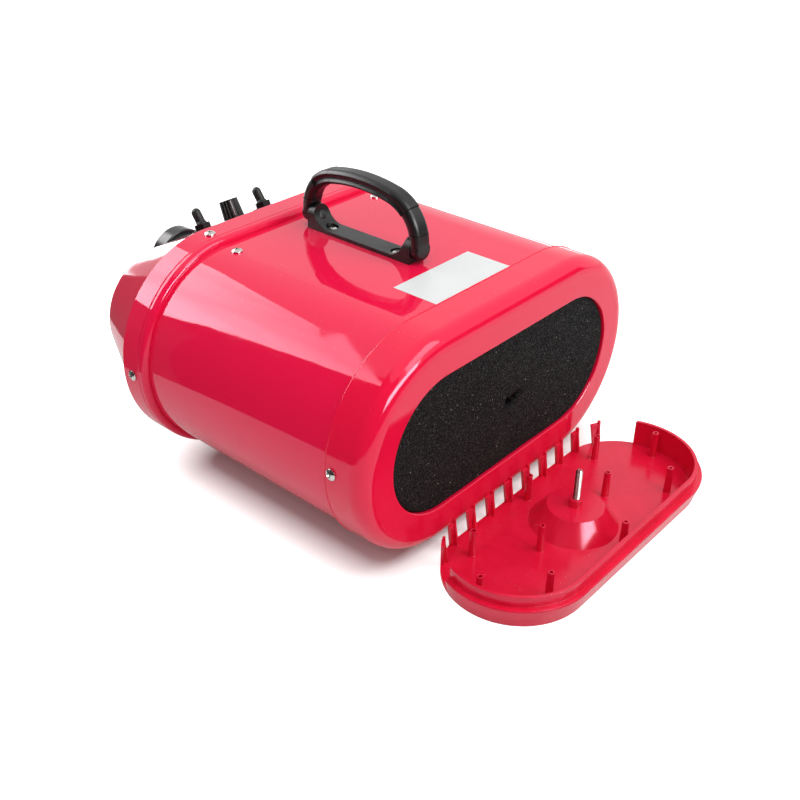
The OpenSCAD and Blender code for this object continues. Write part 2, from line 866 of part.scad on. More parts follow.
module motor_rings() {
    color("#2a2a2a") housing() for (s = [-1, 1]) translate([s * motor_x, 0, 0]) {
        translate([0, 0, clamp_d + plate_sheet]) linear_extrude(ring_t) difference() {
            circle(can_r - 2);
            circle(can_r - 12);
        }
        translate([0, 0, plate_d - ring_t]) linear_extrude(ring_t) difference() {
            circle(frame_r);
            circle(duct_r);
        }
    }
}

module fan_can(side) {
    intake_r = 19;
    color("silver") motor_axis(side) translate([0, 0, can_rear_d]) difference() {
        cylinder(r = can_r, h = can_len);
        translate([0, 0, 1.2]) cylinder(r = can_r - 1.2, h = can_len);
        translate([0, 0, -1]) cylinder(r = intake_r, h = 4);
    }
}

bearing_r = 11;
bearing_w = 7;
hub_r = bearing_r + 3;

// Partition, barrel and front bell of a motor, with a bearing hub at each end
module motor_frame(side) {
    window_r = 9;
    color("#9a9a9e") motor_axis(side) translate([0, 0, can_front_d]) difference() {
        union() {
            cylinder(r = can_r, h = bell_t);
            cylinder(r = frame_r, h = frame_len);
            translate([0, 0, -6]) cylinder(r = hub_r, h = 6 + eps);
        }
        translate([0, 0, bell_t]) difference() {
            cylinder(r = frame_r - wall, h = frame_len - 2 * bell_t);
            cylinder(r = hub_r, h = 5);
            translate([0, 0, frame_len - 2 * bell_t - hub_depth]) cylinder(r = hub_r, h = hub_depth);
        }
        // bearing seats and the shaft's way through
        translate([0, 0, -7]) cylinder(r = bearing_r + seat_gap, h = bearing_w + 7);
        translate([0, 0, frame_len - bearing_w]) cylinder(r = bearing_r + seat_gap, h = bearing_w + 1);
        translate([0, 0, -10]) cylinder(r = shaft_r + 2, h = frame_len + 20);
        // air windows in the partition and the front bell
        for (a = [0:60:300]) rotate([0, 0, a]) translate([hub_r + window_r + 2, 0, -1])
            cylinder(r = window_r, h = bell_t + 2);
        for (a = [0:60:300]) rotate([0, 0, a]) translate([hub_r + window_r + 2, 0, frame_len - bell_t - 1])
            cylinder(r = window_r, h = bell_t + 2);
    }
}

// Two-pole field core with a coil on each pole
module stator(side) {
    core_r = frame_r - wall - seat_gap;
    bore_r = armature_r + 0.8;
    coil_t = (core_r - bore_r) * 0.45;
    color("#7d4a2a") motor_axis(side) {
        translate([0, 0, core_d]) linear_extrude(core_len) difference() {
            circle(core_r);
            circle(bore_r);
            for (s = [-1, 1]) translate([s * bore_r, 0])
                square([2 * coil_t + 1, armature_r + 2], center = true);
        }
        for (s = [-1, 1]) translate([s * (bore_r + coil_t / 2), 0, core_d - 5])
            linear_extrude(core_len + 9) square([coil_t, armature_r], center = true);
    }
}

commutator_r = 8.5;

// Shaft, armature and commutator turn together
module rotor(side) {
    color("#b0703a") motor_axis(side) {
        translate([0, 0, can_rear_d + 6]) cylinder(r = shaft_r, h = can_len + frame_len - 7);
        translate([0, 0, core_d]) difference() {
            cylinder(r = armature_r, h = core_len);
            for (a = [0:30:330]) rotate([0, 0, a]) translate([armature_r, 0, -1])
                cylinder(r = 1.6, h = core_len + 2);
        }
        translate([0, 0, core_d + core_len - eps]) cylinder(r = commutator_r, h = commutator_len);
    }
}

// Carbon brushes bear on each commutator from above and below
module motor_brushes() {
    brush_end_r = frame_r - wall - seat_gap;
    color("#3a3a3c") for (side = [-1, 1]) motor_axis(side) for (a = [90, 270])
        rotate([0, 0, a]) translate([commutator_r + seat_gap, -3, core_d + core_len + 0.8])
            cube([brush_end_r - commutator_r - seat_gap, 6, 4.2]);
}

// Shrouded impeller with curved blades
module impeller(side) {
    wheel_r = can_r - 6;
    eye_r = 17;
    wheel_d = can_rear_d + 8;
    blade_h = 16;
    blade_arc_r = 30;
    color("silver") motor_axis(side) translate([0, 0, wheel_d]) difference() {
        union() {
            difference() {
                cylinder(r = wheel_r, h = 1.2);
                translate([0, 0, -1]) cylinder(r = eye_r, h = 4);
            }
            translate([0, 0, 1.2 + blade_h]) cylinder(r = wheel_r, h = 1.2);
            translate([0, 0, 3]) cylinder(r = 8, h = blade_h);
            linear_extrude(blade_h + 1.3) intersection() {
                difference() {
                    circle(wheel_r - 0.5);
                    circle(eye_r + 1);
                }
                for (a = [0:45:315]) rotate(a) translate([blade_arc_r, 14]) difference() {
                    circle(blade_arc_r - 4);
                    circle(blade_arc_r - 5.2);
                    translate([-60, 0]) square([120, 60]);
                }
            }
        }
        translate([0, 0, -5]) cylinder(r = shaft_r, h = blade_h + 20);
    }
}

module bearings(side) {
    color("silver") motor_axis(side)
        for (d = [can_front_d, can_front_d + frame_len - bearing_w]) translate([0, 0, d])
            difference() {
                cylinder(r = bearing_r, h = bearing_w);
                translate([0, 0, -1]) cylinder(r = shaft_r + run_gap, h = bearing_w + 2);
            }
}

// ---------------------------------------------------------------- filter

module filter_sponge() {
    color("#202022") housing() translate([0, 0, sponge_recess]) linear_extrude(sponge_t) difference() {
        stadium(filter_r - soft_gap);
        // the stud's hole, torn on to one side
        translate([-sponge_slit, 0]) stadium(sponge_hole_r, sponge_slit);
    }
}

// Ring, bars and a centre boss behind the sponge
module filter_grille() {
    edge_r = filter_r - soft_gap;
    bar_w = 2.4;
    columns = floor((half_len + edge_r) / grille_pitch);
    rows = floor(edge_r / grille_pitch);
    color("#2a2a2a") housing() translate([0, 0, grille_d]) difference() {
        union() {
            linear_extrude(grille_t) {
                difference() {
                    stadium(edge_r);
                    stadium(edge_r - 4);
                }
                intersection() {
                    stadium(edge_r - 3);
                    union() {
                        for (i = [-columns:columns]) translate([i * grille_pitch, 0])
                            square([bar_w, 2 * edge_r], center = true);
                        for (i = [-rows:rows]) translate([0, i * grille_pitch])
                            square([2 * (half_len + edge_r), bar_w], center = true);
                    }
                }
            }
            cylinder(r = insert_r + 2.5, h = insert_len);
        }
        translate([0, 0, -1]) cylinder(r = insert_r, h = insert_len + 2);
    }
}

insert_r = stud_r + 1.6;
insert_len = 10;

module grille_insert() {
    color("goldenrod") housing() translate([0, 0, grille_d]) difference() {
        cylinder(r = insert_r, h = insert_len);
        translate([0, 0, -1]) cylinder(r = stud_r + run_gap, h = insert_len + 2);
    }
}

// ---------------------------------------------------------------- rear cover

// Wall on the closed side: a drafted skirt up to the ledge, then the rim that enters the filter opening
module cover_wall_profile() {
    draft = 3.6;
    translate([rim_r - rim_t, 0]) square([rim_t, rim_h]);
    polygon([
        [rim_r - rim_t, 0], [skirt_r - draft - 0.8, 0], [skirt_r - draft, 1.2],
        [skirt_r, ledge_h - 1], [skirt_r - 0.6, ledge_h], [rim_r - rim_t, ledge_h]
    ]);
}

// Places a child on the comb's line, s away from its middle, with Y pointing inwards
module on_comb(s) {
    over = max(abs(s) - half_len, 0);
    side = s < 0 ? -1 : 1;
    translate([side * min(abs(s), half_len), 0, 0])
        rotate([0, 0, side * over / rim_r * 180 / PI]) translate([0, -rim_r, 0]) children();
}

module at_comb_bars() {
    for (i = [0:comb_bars - 1]) on_comb((i - (comb_bars - 1) / 2) * comb_pitch) children();
}

module comb() {
    rib_t = 2;
    intersection() {
        linear_extrude(comb_bar_h) difference() {
            stadium(rim_r);
            stadium(rim_r - rim_t);
        }
        // each bar runs to one side from its rib
        at_comb_bars() translate([-rib_t / 2, 5, 0]) rotate([90, 0, 0]) linear_extrude(10) polygon([
            [0, 0], [comb_bar_w, 0], [comb_bar_top_w, comb_bar_h], [0, comb_bar_h]
        ]);
    }
    at_comb_bars() rotate([90, 0, -90]) linear_extrude(rib_t, center = true) polygon([
        [-0.5, 0], [-comb_rib, 0], [-rim_t - 0.4, rim_h - 6], [-rim_t, rim_h], [-0.5, rim_h]
    ]);
}

module at_posts() {
    for (x = [-110.5, -41.5, 41.5, 110.5]) translate([post_at(x), 0, 0]) children();
    for (x = [-77, 77], y = [-31.5, 31.5]) translate([post_at(x), y, 0]) children();
    for (y = [-40, 40]) translate([0, y, 0]) children();
}

// Post positions follow the housing's length
function post_at(x) = x + sign(x) * (half_len - 70);

// The cone's section from height z0 up, with its wall thickness t taken off
module cone_section(t, z0) {
    lean = (cone_r - cone_top_r) / cone_rise;
    across = t * sqrt(1 + lean * lean);
    polygon([
        [0, z0], [cone_r - across, z0], [cone_r - across, plate_t],
        [cone_top_r - across + lean * t, cone_h - t], [0, cone_h - t]
    ]);
}

module cover_cone() {
    rotate_extrude() cone_section(0, 0);
    cylinder(r = boss_r, h = rim_h);
}

module rear_cover() {
    post_bore_r = 1.3;
    color("#c8102e") cover_frame() difference() {
        union() {
            linear_extrude(plate_t) stadium(rim_r);
            intersection() {
                capsule() cover_wall_profile();
                translate([-200, -wall_end, -1]) cube([400, 200, rim_h + 2]);
            }
            comb();
            cover_cone();
            at_posts() cylinder(r1 = post_r, r2 = post_r - 0.5, h = rim_h);
        }
        rotate_extrude() cone_section(rim_t, -1);
        cylinder(r = stud_r + run_gap, h = 2 * rim_h);
        at_posts() translate([0, 0, plate_t + 2]) cylinder(r = post_bore_r, h = rim_h);
    }
}

module cover_stud() {
    color("silver") cover_frame() translate([0, 0, 5]) cylinder(r = stud_r, h = stud_top - 5);
}

// Six-lobed knob in the cone's recess; it turns with the stud
module cover_knob() {
    lobe_r = 5;
    knob_foot = 2;
    color("#1c1c1e") cover_frame() difference() {
        translate([0, 0, knob_foot]) linear_extrude(recess_h - knob_foot - soft_gap) difference() {
            circle(cover_knob_r);
            for (a = [0:60:300]) rotate(a) translate([cover_knob_r + lobe_r - 1.8, 0]) circle(lobe_r);
        }
        translate([0, 0, 5]) cylinder(r = stud_r, h = rim_h);
    }
}

// ---------------------------------------------------------------- feet and cord inlet

module feet() {
    color("#202022") at_feet() difference() {
        translate([0, 0, -foot_h]) cylinder(r1 = foot_r - 1.5, r2 = foot_r, h = foot_h);
        translate([0, 0, -foot_h - 1]) cylinder(r = screw_head_r + 0.6, h = foot_h - 1);
        translate([0, 0, -foot_h]) cylinder(r = screw_r + hole_gap, h = foot_h + 1);
    }
}

module foot_screws() {
    color("silver") at_feet() translate([0, 0, -2]) rotate([180, 0, 0]) pan_screw(10);
}

gland_neck_r = 6.5;

module at_gland() {
    at_round_end(-1, -24, band_d - 60, shell_r) children();
}

// Rubber inlet bush for the mains cord, low on the left side
module cable_gland() {
    flange_r = gland_neck_r + 3;
    cord_r = 3.6;
    color("#202022") housing() difference() {
        union() {
            difference() {
                at_gland() translate([0, 0, -1]) cylinder(r = flange_r, h = 4);
                linear_extrude(face_d) stadium(shell_r);
            }
            at_gland() {
                translate([0, 0, -wall - 3]) cylinder(r = gland_neck_r, h = wall + 5);
                translate([0, 0, -wall - 3]) cylinder(r = gland_neck_r + 1.2, h = 2.5);
            }
        }
        at_gland() cylinder(r = cord_r, h = 60, center = true);
    }
}

// ---------------------------------------------------------------- assembly

main_shell();
rear_cap();
front_band();
nose_hood();
hose_outlet();
shell_screws();
band_screws();
cap_screws();
outlet_screws();
handle_base();
handle_screws();
handle_pins();
handle_knuckle(front);  // handle_knuckle_front
handle_knuckle(rear);  // handle_knuckle_rear
handle_arm(front);  // handle_arm_front
handle_arm(rear);  // handle_arm_rear
handle_grip();
blank_label();
switch_case(left);  // switch_case_left
switch_case(right);  // switch_case_right
switch_washer(left);  // switch_washer_left
switch_washer(right);  // switch_washer_right
switch_nut(left);  // switch_nut_left
switch_nut(right);  // switch_nut_right
switch_lever(left);  // switch_lever_left
switch_lever(right);  // switch_lever_right
switch_boot(left);  // switch_boot_left
switch_boot(right);  // switch_boot_right
speed_knob();
pot_shaft();
pot_body();
pot_nut();
speed_board();
heat_sink();
motor_plate();
motor_clamp_plate();
tie_rods();
motor_rings();
fan_can(left);  // fan_can_left
fan_can(right);  // fan_can_right
motor_frame(left);  // motor_frame_left
motor_frame(right);  // motor_frame_right
stator(left);  // stator_left
stator(right);  // stator_right
rotor(left);  // rotor_left
rotor(right);  // rotor_right
impeller(left);  // impeller_left
impeller(right);  // impeller_right
bearings(left);  // bearings_left
bearings(right);  // bearings_right
motor_brushes();
filter_sponge();
filter_grille();
grille_insert();
rear_cover();
cover_stud();
cover_knob();
feet();
foot_screws();
cable_gland();
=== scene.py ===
"""Looks of a twin-motor pet dryer whose slotted rear cover lies behind it."""
import math
import random

import bmesh
import bpy
from mathutils import Matrix, Vector, noise


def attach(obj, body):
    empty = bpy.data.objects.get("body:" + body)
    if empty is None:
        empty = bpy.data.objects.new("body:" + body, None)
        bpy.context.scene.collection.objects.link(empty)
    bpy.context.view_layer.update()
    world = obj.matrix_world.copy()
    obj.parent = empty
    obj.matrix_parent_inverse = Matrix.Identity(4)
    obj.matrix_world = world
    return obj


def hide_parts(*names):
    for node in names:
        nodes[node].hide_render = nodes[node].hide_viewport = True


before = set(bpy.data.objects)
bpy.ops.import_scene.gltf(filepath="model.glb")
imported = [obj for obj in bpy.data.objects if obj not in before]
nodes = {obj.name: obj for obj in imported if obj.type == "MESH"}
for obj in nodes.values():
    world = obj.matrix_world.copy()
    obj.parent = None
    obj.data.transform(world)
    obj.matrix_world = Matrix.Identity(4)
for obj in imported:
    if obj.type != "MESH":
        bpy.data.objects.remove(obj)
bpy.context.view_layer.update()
scene = bpy.context.scene
scene.view_settings.view_transform = "Standard"

# ---------------------------------------------------------------- the housing's main sizes, in metres
MM = 0.001
REAR_Y = 0.1286  # the cap's rear face
AXIS_Z = 0.0865  # the housing's middle line above the floor
HALF_LEN = 0.070  # from the middle to the centre of a round end
# radii of the round ends
SHELL_R = 0.0785
CAP_R = 0.080
BAND_R = 0.0835
FILTER_R = 0.0507
# depths in front of the rear face
SEAM_D = 0.032
BAND_D = 0.208
NOSE_D = 0.232
FACE_D = 0.299
SLOPE = math.radians(25.67)  # of the nose's upper side
HANDLE_Y = REAR_Y - SEAM_D - 0.105  # the handle's middle
# the stud of the cover that lies behind the housing
COVER_X = -0.011
COVER_Y = 0.1834
# places on the housing, with Z running forward from its rear face
HOUSING = Matrix.Translation((0, REAR_Y, AXIS_Z)) @ Matrix.Rotation(math.pi / 2, 4, "X")

# ---------------------------------------------------------------- camera
CAMERA_PLACE = (0.52036, REAR_Y + 0.35177, AXIS_Z + 0.38712)
CAMERA_HEADING, CAMERA_TILT, CAMERA_ROLL = 2.2867, 1.0148, 0.0101
SENSOR_MM = 36.0
LENS_MM = 47.585

cam_data = bpy.data.cameras.new("camera")
cam_data.sensor_width = SENSOR_MM
cam_data.lens = LENS_MM
cam_data.clip_end = 50
cam = bpy.data.objects.new("camera", cam_data)
scene.collection.objects.link(cam)
cam.matrix_world = (
    Matrix.Translation(CAMERA_PLACE)
    @ Matrix.Rotation(CAMERA_HEADING, 4, "Z")
    @ Matrix.Rotation(CAMERA_TILT, 4, "X")
    @ Matrix.Rotation(CAMERA_ROLL, 4, "Z")
)
scene.camera = cam


# ---------------------------------------------------------------- shader building blocks
def add(tree, kind, values=None, **settings):
    """A new shader node; values go to its sockets and settings to the node itself."""
    made = tree.nodes.new("ShaderNode" + kind)
    for name, value in settings.items():
        setattr(made, name, value)
    for name, value in (values or {}).items():
        made.inputs[name].default_value = value
    return made


def feed(tree, source, target):
    tree.links.new(source, target)


def math_node(tree, operation, first, second):
    """A Math node on two sockets or numbers."""
    made = add(tree, "Math", operation=operation)
    for socket, value in zip(made.inputs, (first, second)):
        if isinstance(value, (int, float)):
            socket.default_value = value
        else:
            feed(tree, value, socket)
    return made.outputs[0]


def add_scaled(tree, base, source, factor):
    """base + source * factor, on sockets."""
    return math_node(tree, "ADD", base, math_node(tree, "MULTIPLY", source, factor))


def remap(tree, source, low, high, to_low=0.0, to_high=1.0):
    """source's range from low to high, spread over another range and held inside it."""
    made = add(tree, "MapRange", {"From Min": low, "From Max": high, "To Min": to_low, "To Max": to_high})
    feed(tree, source, made.inputs["Value"])
    return made.outputs["Result"]


def mix_color(tree, mask, first, second):
    """Two colours, or sockets, mixed by a mask."""
    made = add(tree, "Mix", data_type="RGBA")
    feed(tree, mask, made.inputs["Factor"])
    for name, value in (("A", first), ("B", second)):
        socket = [s for s in made.inputs if s.name == name and s.type == "RGBA"][0]
        if isinstance(value, tuple):
            socket.default_value = (*value, 1)
        else:
            feed(tree, value, socket)
    return [s for s in made.outputs if s.type == "RGBA"][0]


def shader_group(name, inputs, outputs):
    """An empty shader group with named sockets, and its two end nodes."""
    tree = bpy.data.node_groups.new(name, "ShaderNodeTree")
    for label, value in inputs.items():
        kind = "NodeSocketVector" if value is None else "NodeSocketFloat"
        made = tree.interface.new_socket(label, in_out="INPUT", socket_type=kind)
        if value is not None:
            made.default_value = value
    for label in outputs:
        tree.interface.new_socket(label, in_out="OUTPUT", socket_type="NodeSocketFloat")
    return tree, tree.nodes.new("NodeGroupInput"), tree.nodes.new("NodeGroupOutput")


def surface_group():
    """Blotches, grain, hairline scratches and dust that every finish shares."""
    tree, given, out = shader_group(
        "worked_surface",
        {"Coordinates": None, "Wave Scale": 30.0, "Grain Scale": 1500.0, "Cloud Scale": 40.0},
        ["Wave", "Grain", "Cloud", "Scratch", "Dust"],
    )

    def pattern(label, scale, detail, rough=0.5):
        made = add(tree, "TexNoise", {"Scale": scale, "Detail": detail, "Roughness": rough})
        feed(tree, given.outputs["Coordinates"], made.inputs["Vector"])
        if label:
            feed(tree, given.outputs[label], made.inputs["Scale"])
        return made.outputs["Fac"]

    feed(tree, pattern("Wave Scale", 1, 1), out.inputs["Wave"])
    feed(tree, pattern("Grain Scale", 1, 3), out.inputs["Grain"])
    cloud = pattern("Cloud Scale", 1, 5, 0.6)
    feed(tree, remap(tree, cloud, 0.3, 0.7), out.inputs["Cloud"])
    # hairlines: noise drawn out along a slanted direction, kept only on its crests and in a few patches
    lines = []
    for turn, stretch in (((0.3, 0.2, 0.5), (40, 2600, 1400)), ((1.1, 0.7, 2.1), (1800, 60, 2400))):
        mapping = add(tree, "Mapping", {"Rotation": turn, "Scale": stretch})
        feed(tree, given.outputs["Coordinates"], mapping.inputs["Vector"])
        made = add(tree, "TexNoise", {"Scale": 1.0, "Detail": 1.0})
        feed(tree, mapping.outputs["Vector"], made.inputs["Vector"])
        lines.append(remap(tree, made.outputs["Fac"], 0.70, 0.76))
    patches = remap(tree, pattern(None, 22, 2), 0.52, 0.66)
    scratch = math_node(tree, "MAXIMUM", lines[0], lines[1])
    feed(tree, math_node(tree, "MULTIPLY", scratch, patches), out.inputs["Scratch"])
    # dust: sparse specks that lie on faces that look up
    cells = add(tree, "TexVoronoi", {"Scale": 420.0})
    feed(tree, given.outputs["Coordinates"], cells.inputs["Vector"])
    speck = remap(tree, cells.outputs["Distance"], 0.10, 0.06)
    keep = remap(tree, pattern(None, 700, 1), 0.60, 0.66)
    facing = add(tree, "SeparateXYZ")
    feed(tree, add(tree, "TexCoord").outputs["Normal"], facing.inputs[0])
    upward = remap(tree, facing.outputs["Z"], 0.2, 0.9)
    specks = math_node(tree, "MULTIPLY", speck, keep)
    feed(tree, math_node(tree, "MULTIPLY", specks, upward), out.inputs["Dust"])
    return tree


SURFACE = surface_group()
SCRATCH_ROUGHNESS, SCRATCH_DEPTH = 0.35, 6e-6
DUST_ROUGHNESS = 0.5


def material(name):
    mat = bpy.data.materials.new(name)
    mat.use_nodes = True
    tree = mat.node_tree
    return mat, tree, tree.nodes["Principled BSDF"]


def worked(name, color, shade, rough, wave=(30, 0), grain=(1500, 0), cloud=40, scratch=0.0, dust=0.0,
           metal=0.0, edge=0.0, dust_color=(0.55, 0.53, 0.5), ior=1.5, tint=(1, 1, 1), extra=None):
    """A finish from the shared surface group. color and shade are mixed in blotches, rough is its
    (lowest, highest) value, wave and grain are (scale, height in metres), and edge softens sharp edges."""
    mat, tree, bsdf = material(name)
    bsdf.inputs["Metallic"].default_value = metal
    bsdf.inputs["IOR"].default_value = ior
    bsdf.inputs["Specular Tint"].default_value = (*tint, 1)
    surface = add(tree, "Group", node_tree=SURFACE)
    coordinates = add(tree, "TexCoord")
    feed(tree, coordinates.outputs["Object"], surface.inputs["Coordinates"])
    surface.inputs["Wave Scale"].default_value = wave[0]
    surface.inputs["Grain Scale"].default_value = grain[0]
    surface.inputs["Cloud Scale"].default_value = cloud
    out = surface.outputs
    base = mix_color(tree, out["Cloud"], color, shade)
    roughness = remap(tree, out["Cloud"], 0, 1, rough[0], rough[1])
    height = math_node(tree, "MULTIPLY", out["Wave"], wave[1])
    height = add_scaled(tree, height, out["Grain"], grain[1])
    if scratch:
        worn = math_node(tree, "MULTIPLY", out["Scratch"], scratch)
        roughness = add_scaled(tree, roughness, worn, SCRATCH_ROUGHNESS)
        height = math_node(tree, "SUBTRACT", height, math_node(tree, "MULTIPLY", worn, SCRATCH_DEPTH))
    if dust:
        dusty = math_node(tree, "MULTIPLY", out["Dust"], dust)
        base = mix_color(tree, dusty, base, dust_color)
        roughness = add_scaled(tree, roughness, dusty, DUST_ROUGHNESS)
    if extra:
        base, roughness, height = extra(tree, coordinates.outputs["Object"], base, roughness, height)
    feed(tree, base, bsdf.inputs["Base Color"])
    feed(tree, roughness, bsdf.inputs["Roughness"])
    bump = add(tree, "Bump", {"Strength": 1.0, "Distance": 1.0})
    feed(tree, height, bump.inputs["Height"])
    if edge:
        softened = add(tree, "Bevel", {"Radius": edge}, samples=4)
        feed(tree, softened.outputs["Normal"], bump.inputs["Normal"])
    feed(tree, bump.outputs["Normal"], bsdf.inputs["Normal"])
    return mat


def stretched(tree, coordinates, scale):
    """Noise drawn out along an axis, for brushed, drawn or turned metal."""
    mapping = add(tree, "Mapping", {"Scale": scale})
    feed(tree, coordinates, mapping.inputs["Vector"])
    made = add(tree, "TexNoise", {"Scale": 1.0, "Detail": 2.0})
    feed(tree, mapping.outputs["Vector"], made.inputs["Vector"])
    return made.outputs["Fac"]


def drawn_out(scale, depth, gloss):
    """Extra layer: fine lines along one axis."""
    def layer(tree, coordinates, base, roughness, height):
        lines = stretched(tree, coordinates, scale)
        height = add_scaled(tree, height, lines, depth)
        roughness = math_node(tree, "ADD", roughness, remap(tree, lines, 0.3, 0.7, -gloss, gloss))
        return base, roughness, height
    return layer


def flow_marks(tree, coordinates, base, roughness, height):
    """Extra layer: faint swirls and duller veils that the melt leaves on an unpolished moulding."""
    swirl = add(tree, "TexNoise", {"Scale": 26.0, "Detail": 3.0, "Distortion": 1.6})
    feed(tree, coordinates, swirl.inputs["Vector"])
    veil = remap(tree, swirl.outputs["Fac"], 0.44, 0.62)
    roughness = math_node(tree, "ADD", roughness, remap(tree, veil, 0, 1, 0.0, 0.07))
    base = mix_color(tree, remap(tree, veil, 0, 1, 0.0, 0.35), base, (0.84, 0.014, 0.060))
    return base, roughness, height


WAVE_PERIOD = 0.314  # metres between the bands of a wave texture at scale 1


def plate_stack(pitch, depth):
    """Extra layer: the stacked sheets of a motor's iron, along Y."""
    def layer(tree, coordinates, base, roughness, height):
        wave = add(tree, "TexWave", {"Scale": WAVE_PERIOD / pitch, "Distortion": 0.0},
                   bands_direction="Y", wave_profile="SIN")
        feed(tree, coordinates, wave.inputs["Vector"])
        gap = remap(tree, wave.outputs["Fac"], 0.15, 0.35)
        base = mix_color(tree, gap, (0.05, 0.05, 0.055), base)
        height = add_scaled(tree, height, gap, depth)
        return base, roughness, height
    return layer


def solder_side(tree, coordinates, base, roughness, height):
    """Extra layer: tinned solder points and copper runs under a green resist."""
    dots = add(tree, "TexVoronoi", {"Scale": 190.0, "Randomness": 0.55})
    feed(tree, coordinates, dots.inputs["Vector"])
    point = remap(tree, dots.outputs["Distance"], 0.26, 0.20)
    runs = add(tree, "TexBrick", {"Scale": 90.0, "Mortar Size": 0.035, "Bias": 0.0})
    feed(tree, coordinates, runs.inputs["Vector"])
    base = mix_color(tree, runs.outputs["Fac"], base, (0.03, 0.2, 0.06))
    base = mix_color(tree, point, base, (0.6, 0.6, 0.58))
    height = add_scaled(tree, height, point, 3e-4)
    height = add_scaled(tree, height, runs.outputs["Fac"], 5e-5)
    return base, roughness, height


# ---------------------------------------------------------------- finishes
RED_GLOSS = (1.0, 0.80, 1.0)
glossy_red = worked("glossy_red_housing", (0.86, 0.0088, 0.062), (0.82, 0.0078, 0.058), (0.035, 0.07),
                    wave=(24, 1.3e-4), grain=(900, 1.0e-6), cloud=9, scratch=0.6, dust=0.8, edge=0.0006,
                    tint=RED_GLOSS)
cap_red = worked("glossy_red_cap", (0.86, 0.0078, 0.052), (0.83, 0.0070, 0.048), (0.05, 0.10),
                 wave=(30, 1.2e-4), grain=(900, 1.2e-6), cloud=12, scratch=0.6, dust=0.8, edge=0.0005,
                 tint=RED_GLOSS)
cover_red = worked("red_cover_moulding", (0.75, 0.0074, 0.040), (0.70, 0.0064, 0.036), (0.12, 0.20),
                   wave=(34, 1.4e-4), grain=(1300, 2.0e-6), cloud=18, scratch=0.9, dust=1.0,
                   edge=0.0005, tint=RED_GLOSS, extra=flow_marks)
black_handle = worked("black_handle_plastic", (0.009, 0.0085, 0.009), (0.006, 0.0058, 0.006), (0.28, 0.40),
                      wave=(60, 8e-5), grain=(2600, 9e-6), cloud=55, scratch=0.8, dust=1.0, edge=0.0007,
                      ior=1.45)
black_moulding = worked("black_moulded_plastic", (0.008, 0.008, 0.0083), (0.005, 0.005, 0.0055), (0.24, 0.36),
                        wave=(80, 5e-5), grain=(2400, 6e-6), cloud=70, scratch=0.7, dust=0.9, edge=0.0003,
                        ior=1.4)
black_outlet = worked("black_hose_socket", (0.022, 0.022, 0.023), (0.015, 0.015, 0.016), (0.20, 0.30),
                      wave=(50, 1e-4), grain=(2000, 5e-6), cloud=45, scratch=0.8, dust=0.8, edge=0.0004)
boot_rubber = worked("boot_rubber", (0.009, 0.009, 0.009), (0.014, 0.0135, 0.013), (0.38, 0.54),
                     wave=(200, 5e-5), grain=(3200, 1.4e-5), cloud=260, dust=1.0, edge=0.0002, ior=1.42)
foot_rubber = worked("foot_rubber", (0.020, 0.020, 0.020), (0.030, 0.029, 0.028), (0.6, 0.8),
                     wave=(160, 8e-5), grain=(2400, 3e-5), cloud=120, dust=1.0, edge=0.0004)
nickel = worked("nickel_plate", (0.66, 0.645, 0.61), (0.54, 0.525, 0.50), (0.11, 0.22),
                grain=(4200, 2.5e-6), cloud=420, scratch=1.0, metal=1.0, edge=0.00015)
zinc = worked("zinc_plated_steel", (0.55, 0.56, 0.56), (0.42, 0.42, 0.40), (0.24, 0.42),
              wave=(90, 6e-5), grain=(2600, 5e-6), cloud=150, scratch=1.0, metal=1.0, edge=0.0003)
turned_steel = worked("turned_steel", (0.58, 0.57, 0.56), (0.44, 0.44, 0.43), (0.16, 0.30),
                      grain=(3600, 2e-6), cloud=260, scratch=0.8, metal=1.0, edge=0.0002,
                      extra=drawn_out((90, 5200, 90), 4e-6, 0.06))
cast_alu = worked("cast_aluminium", (0.66, 0.66, 0.67), (0.52, 0.52, 0.53), (0.34, 0.52),
                  wave=(70, 1e-4), grain=(1700, 2.2e-5), cloud=90, scratch=0.6, metal=1.0, edge=0.0005)
spun_alu = worked("spun_aluminium", (0.72, 0.72, 0.73), (0.60, 0.60, 0.61), (0.20, 0.34),
                  grain=(2600, 3e-6), cloud=80, scratch=0.9, metal=1.0, edge=0.0004,
                  extra=drawn_out((60, 3600, 60), 6e-6, 0.05))
brass = worked("brass", (0.72, 0.50, 0.20), (0.55, 0.36, 0.13), (0.18, 0.34),
               grain=(3200, 3e-6), cloud=300, scratch=0.8, metal=1.0, edge=0.0002)
iron_stack = worked("stacked_iron_sheets", (0.34, 0.34, 0.35), (0.24, 0.24, 0.25), (0.34, 0.48),
                    grain=(2200, 5e-6), cloud=110, metal=1.0, extra=plate_stack(0.0011, 9e-5))
carbon = worked("brush_carbon", (0.022, 0.022, 0.024), (0.035, 0.034, 0.034), (0.42, 0.6),
                grain=(2600, 1.5e-5), cloud=300, edge=0.0002)
board_green = worked("circuit_board", (0.018, 0.12, 0.045), (0.012, 0.09, 0.035), (0.22, 0.34),
                     grain=(1200, 8e-6), cloud=120, edge=0.0002, extra=solder_side)
pot_green = worked("potentiometer_body", (0.035, 0.10, 0.055), (0.03, 0.085, 0.05), (0.34, 0.46),
                   grain=(1900, 8e-6), cloud=200, edge=0.0003)
switch_red = worked("switch_case_resin", (0.22, 0.022, 0.014), (0.17, 0.016, 0.011), (0.30, 0.44),
                    wave=(120, 5e-5), grain=(1700, 1e-5), cloud=160, scratch=0.5, edge=0.0003)
washer_gray = worked("fibre_washer", (0.045, 0.045, 0.048), (0.03, 0.03, 0.032), (0.46, 0.6),
                     grain=(2300, 1.4e-5), cloud=340, edge=0.0001)
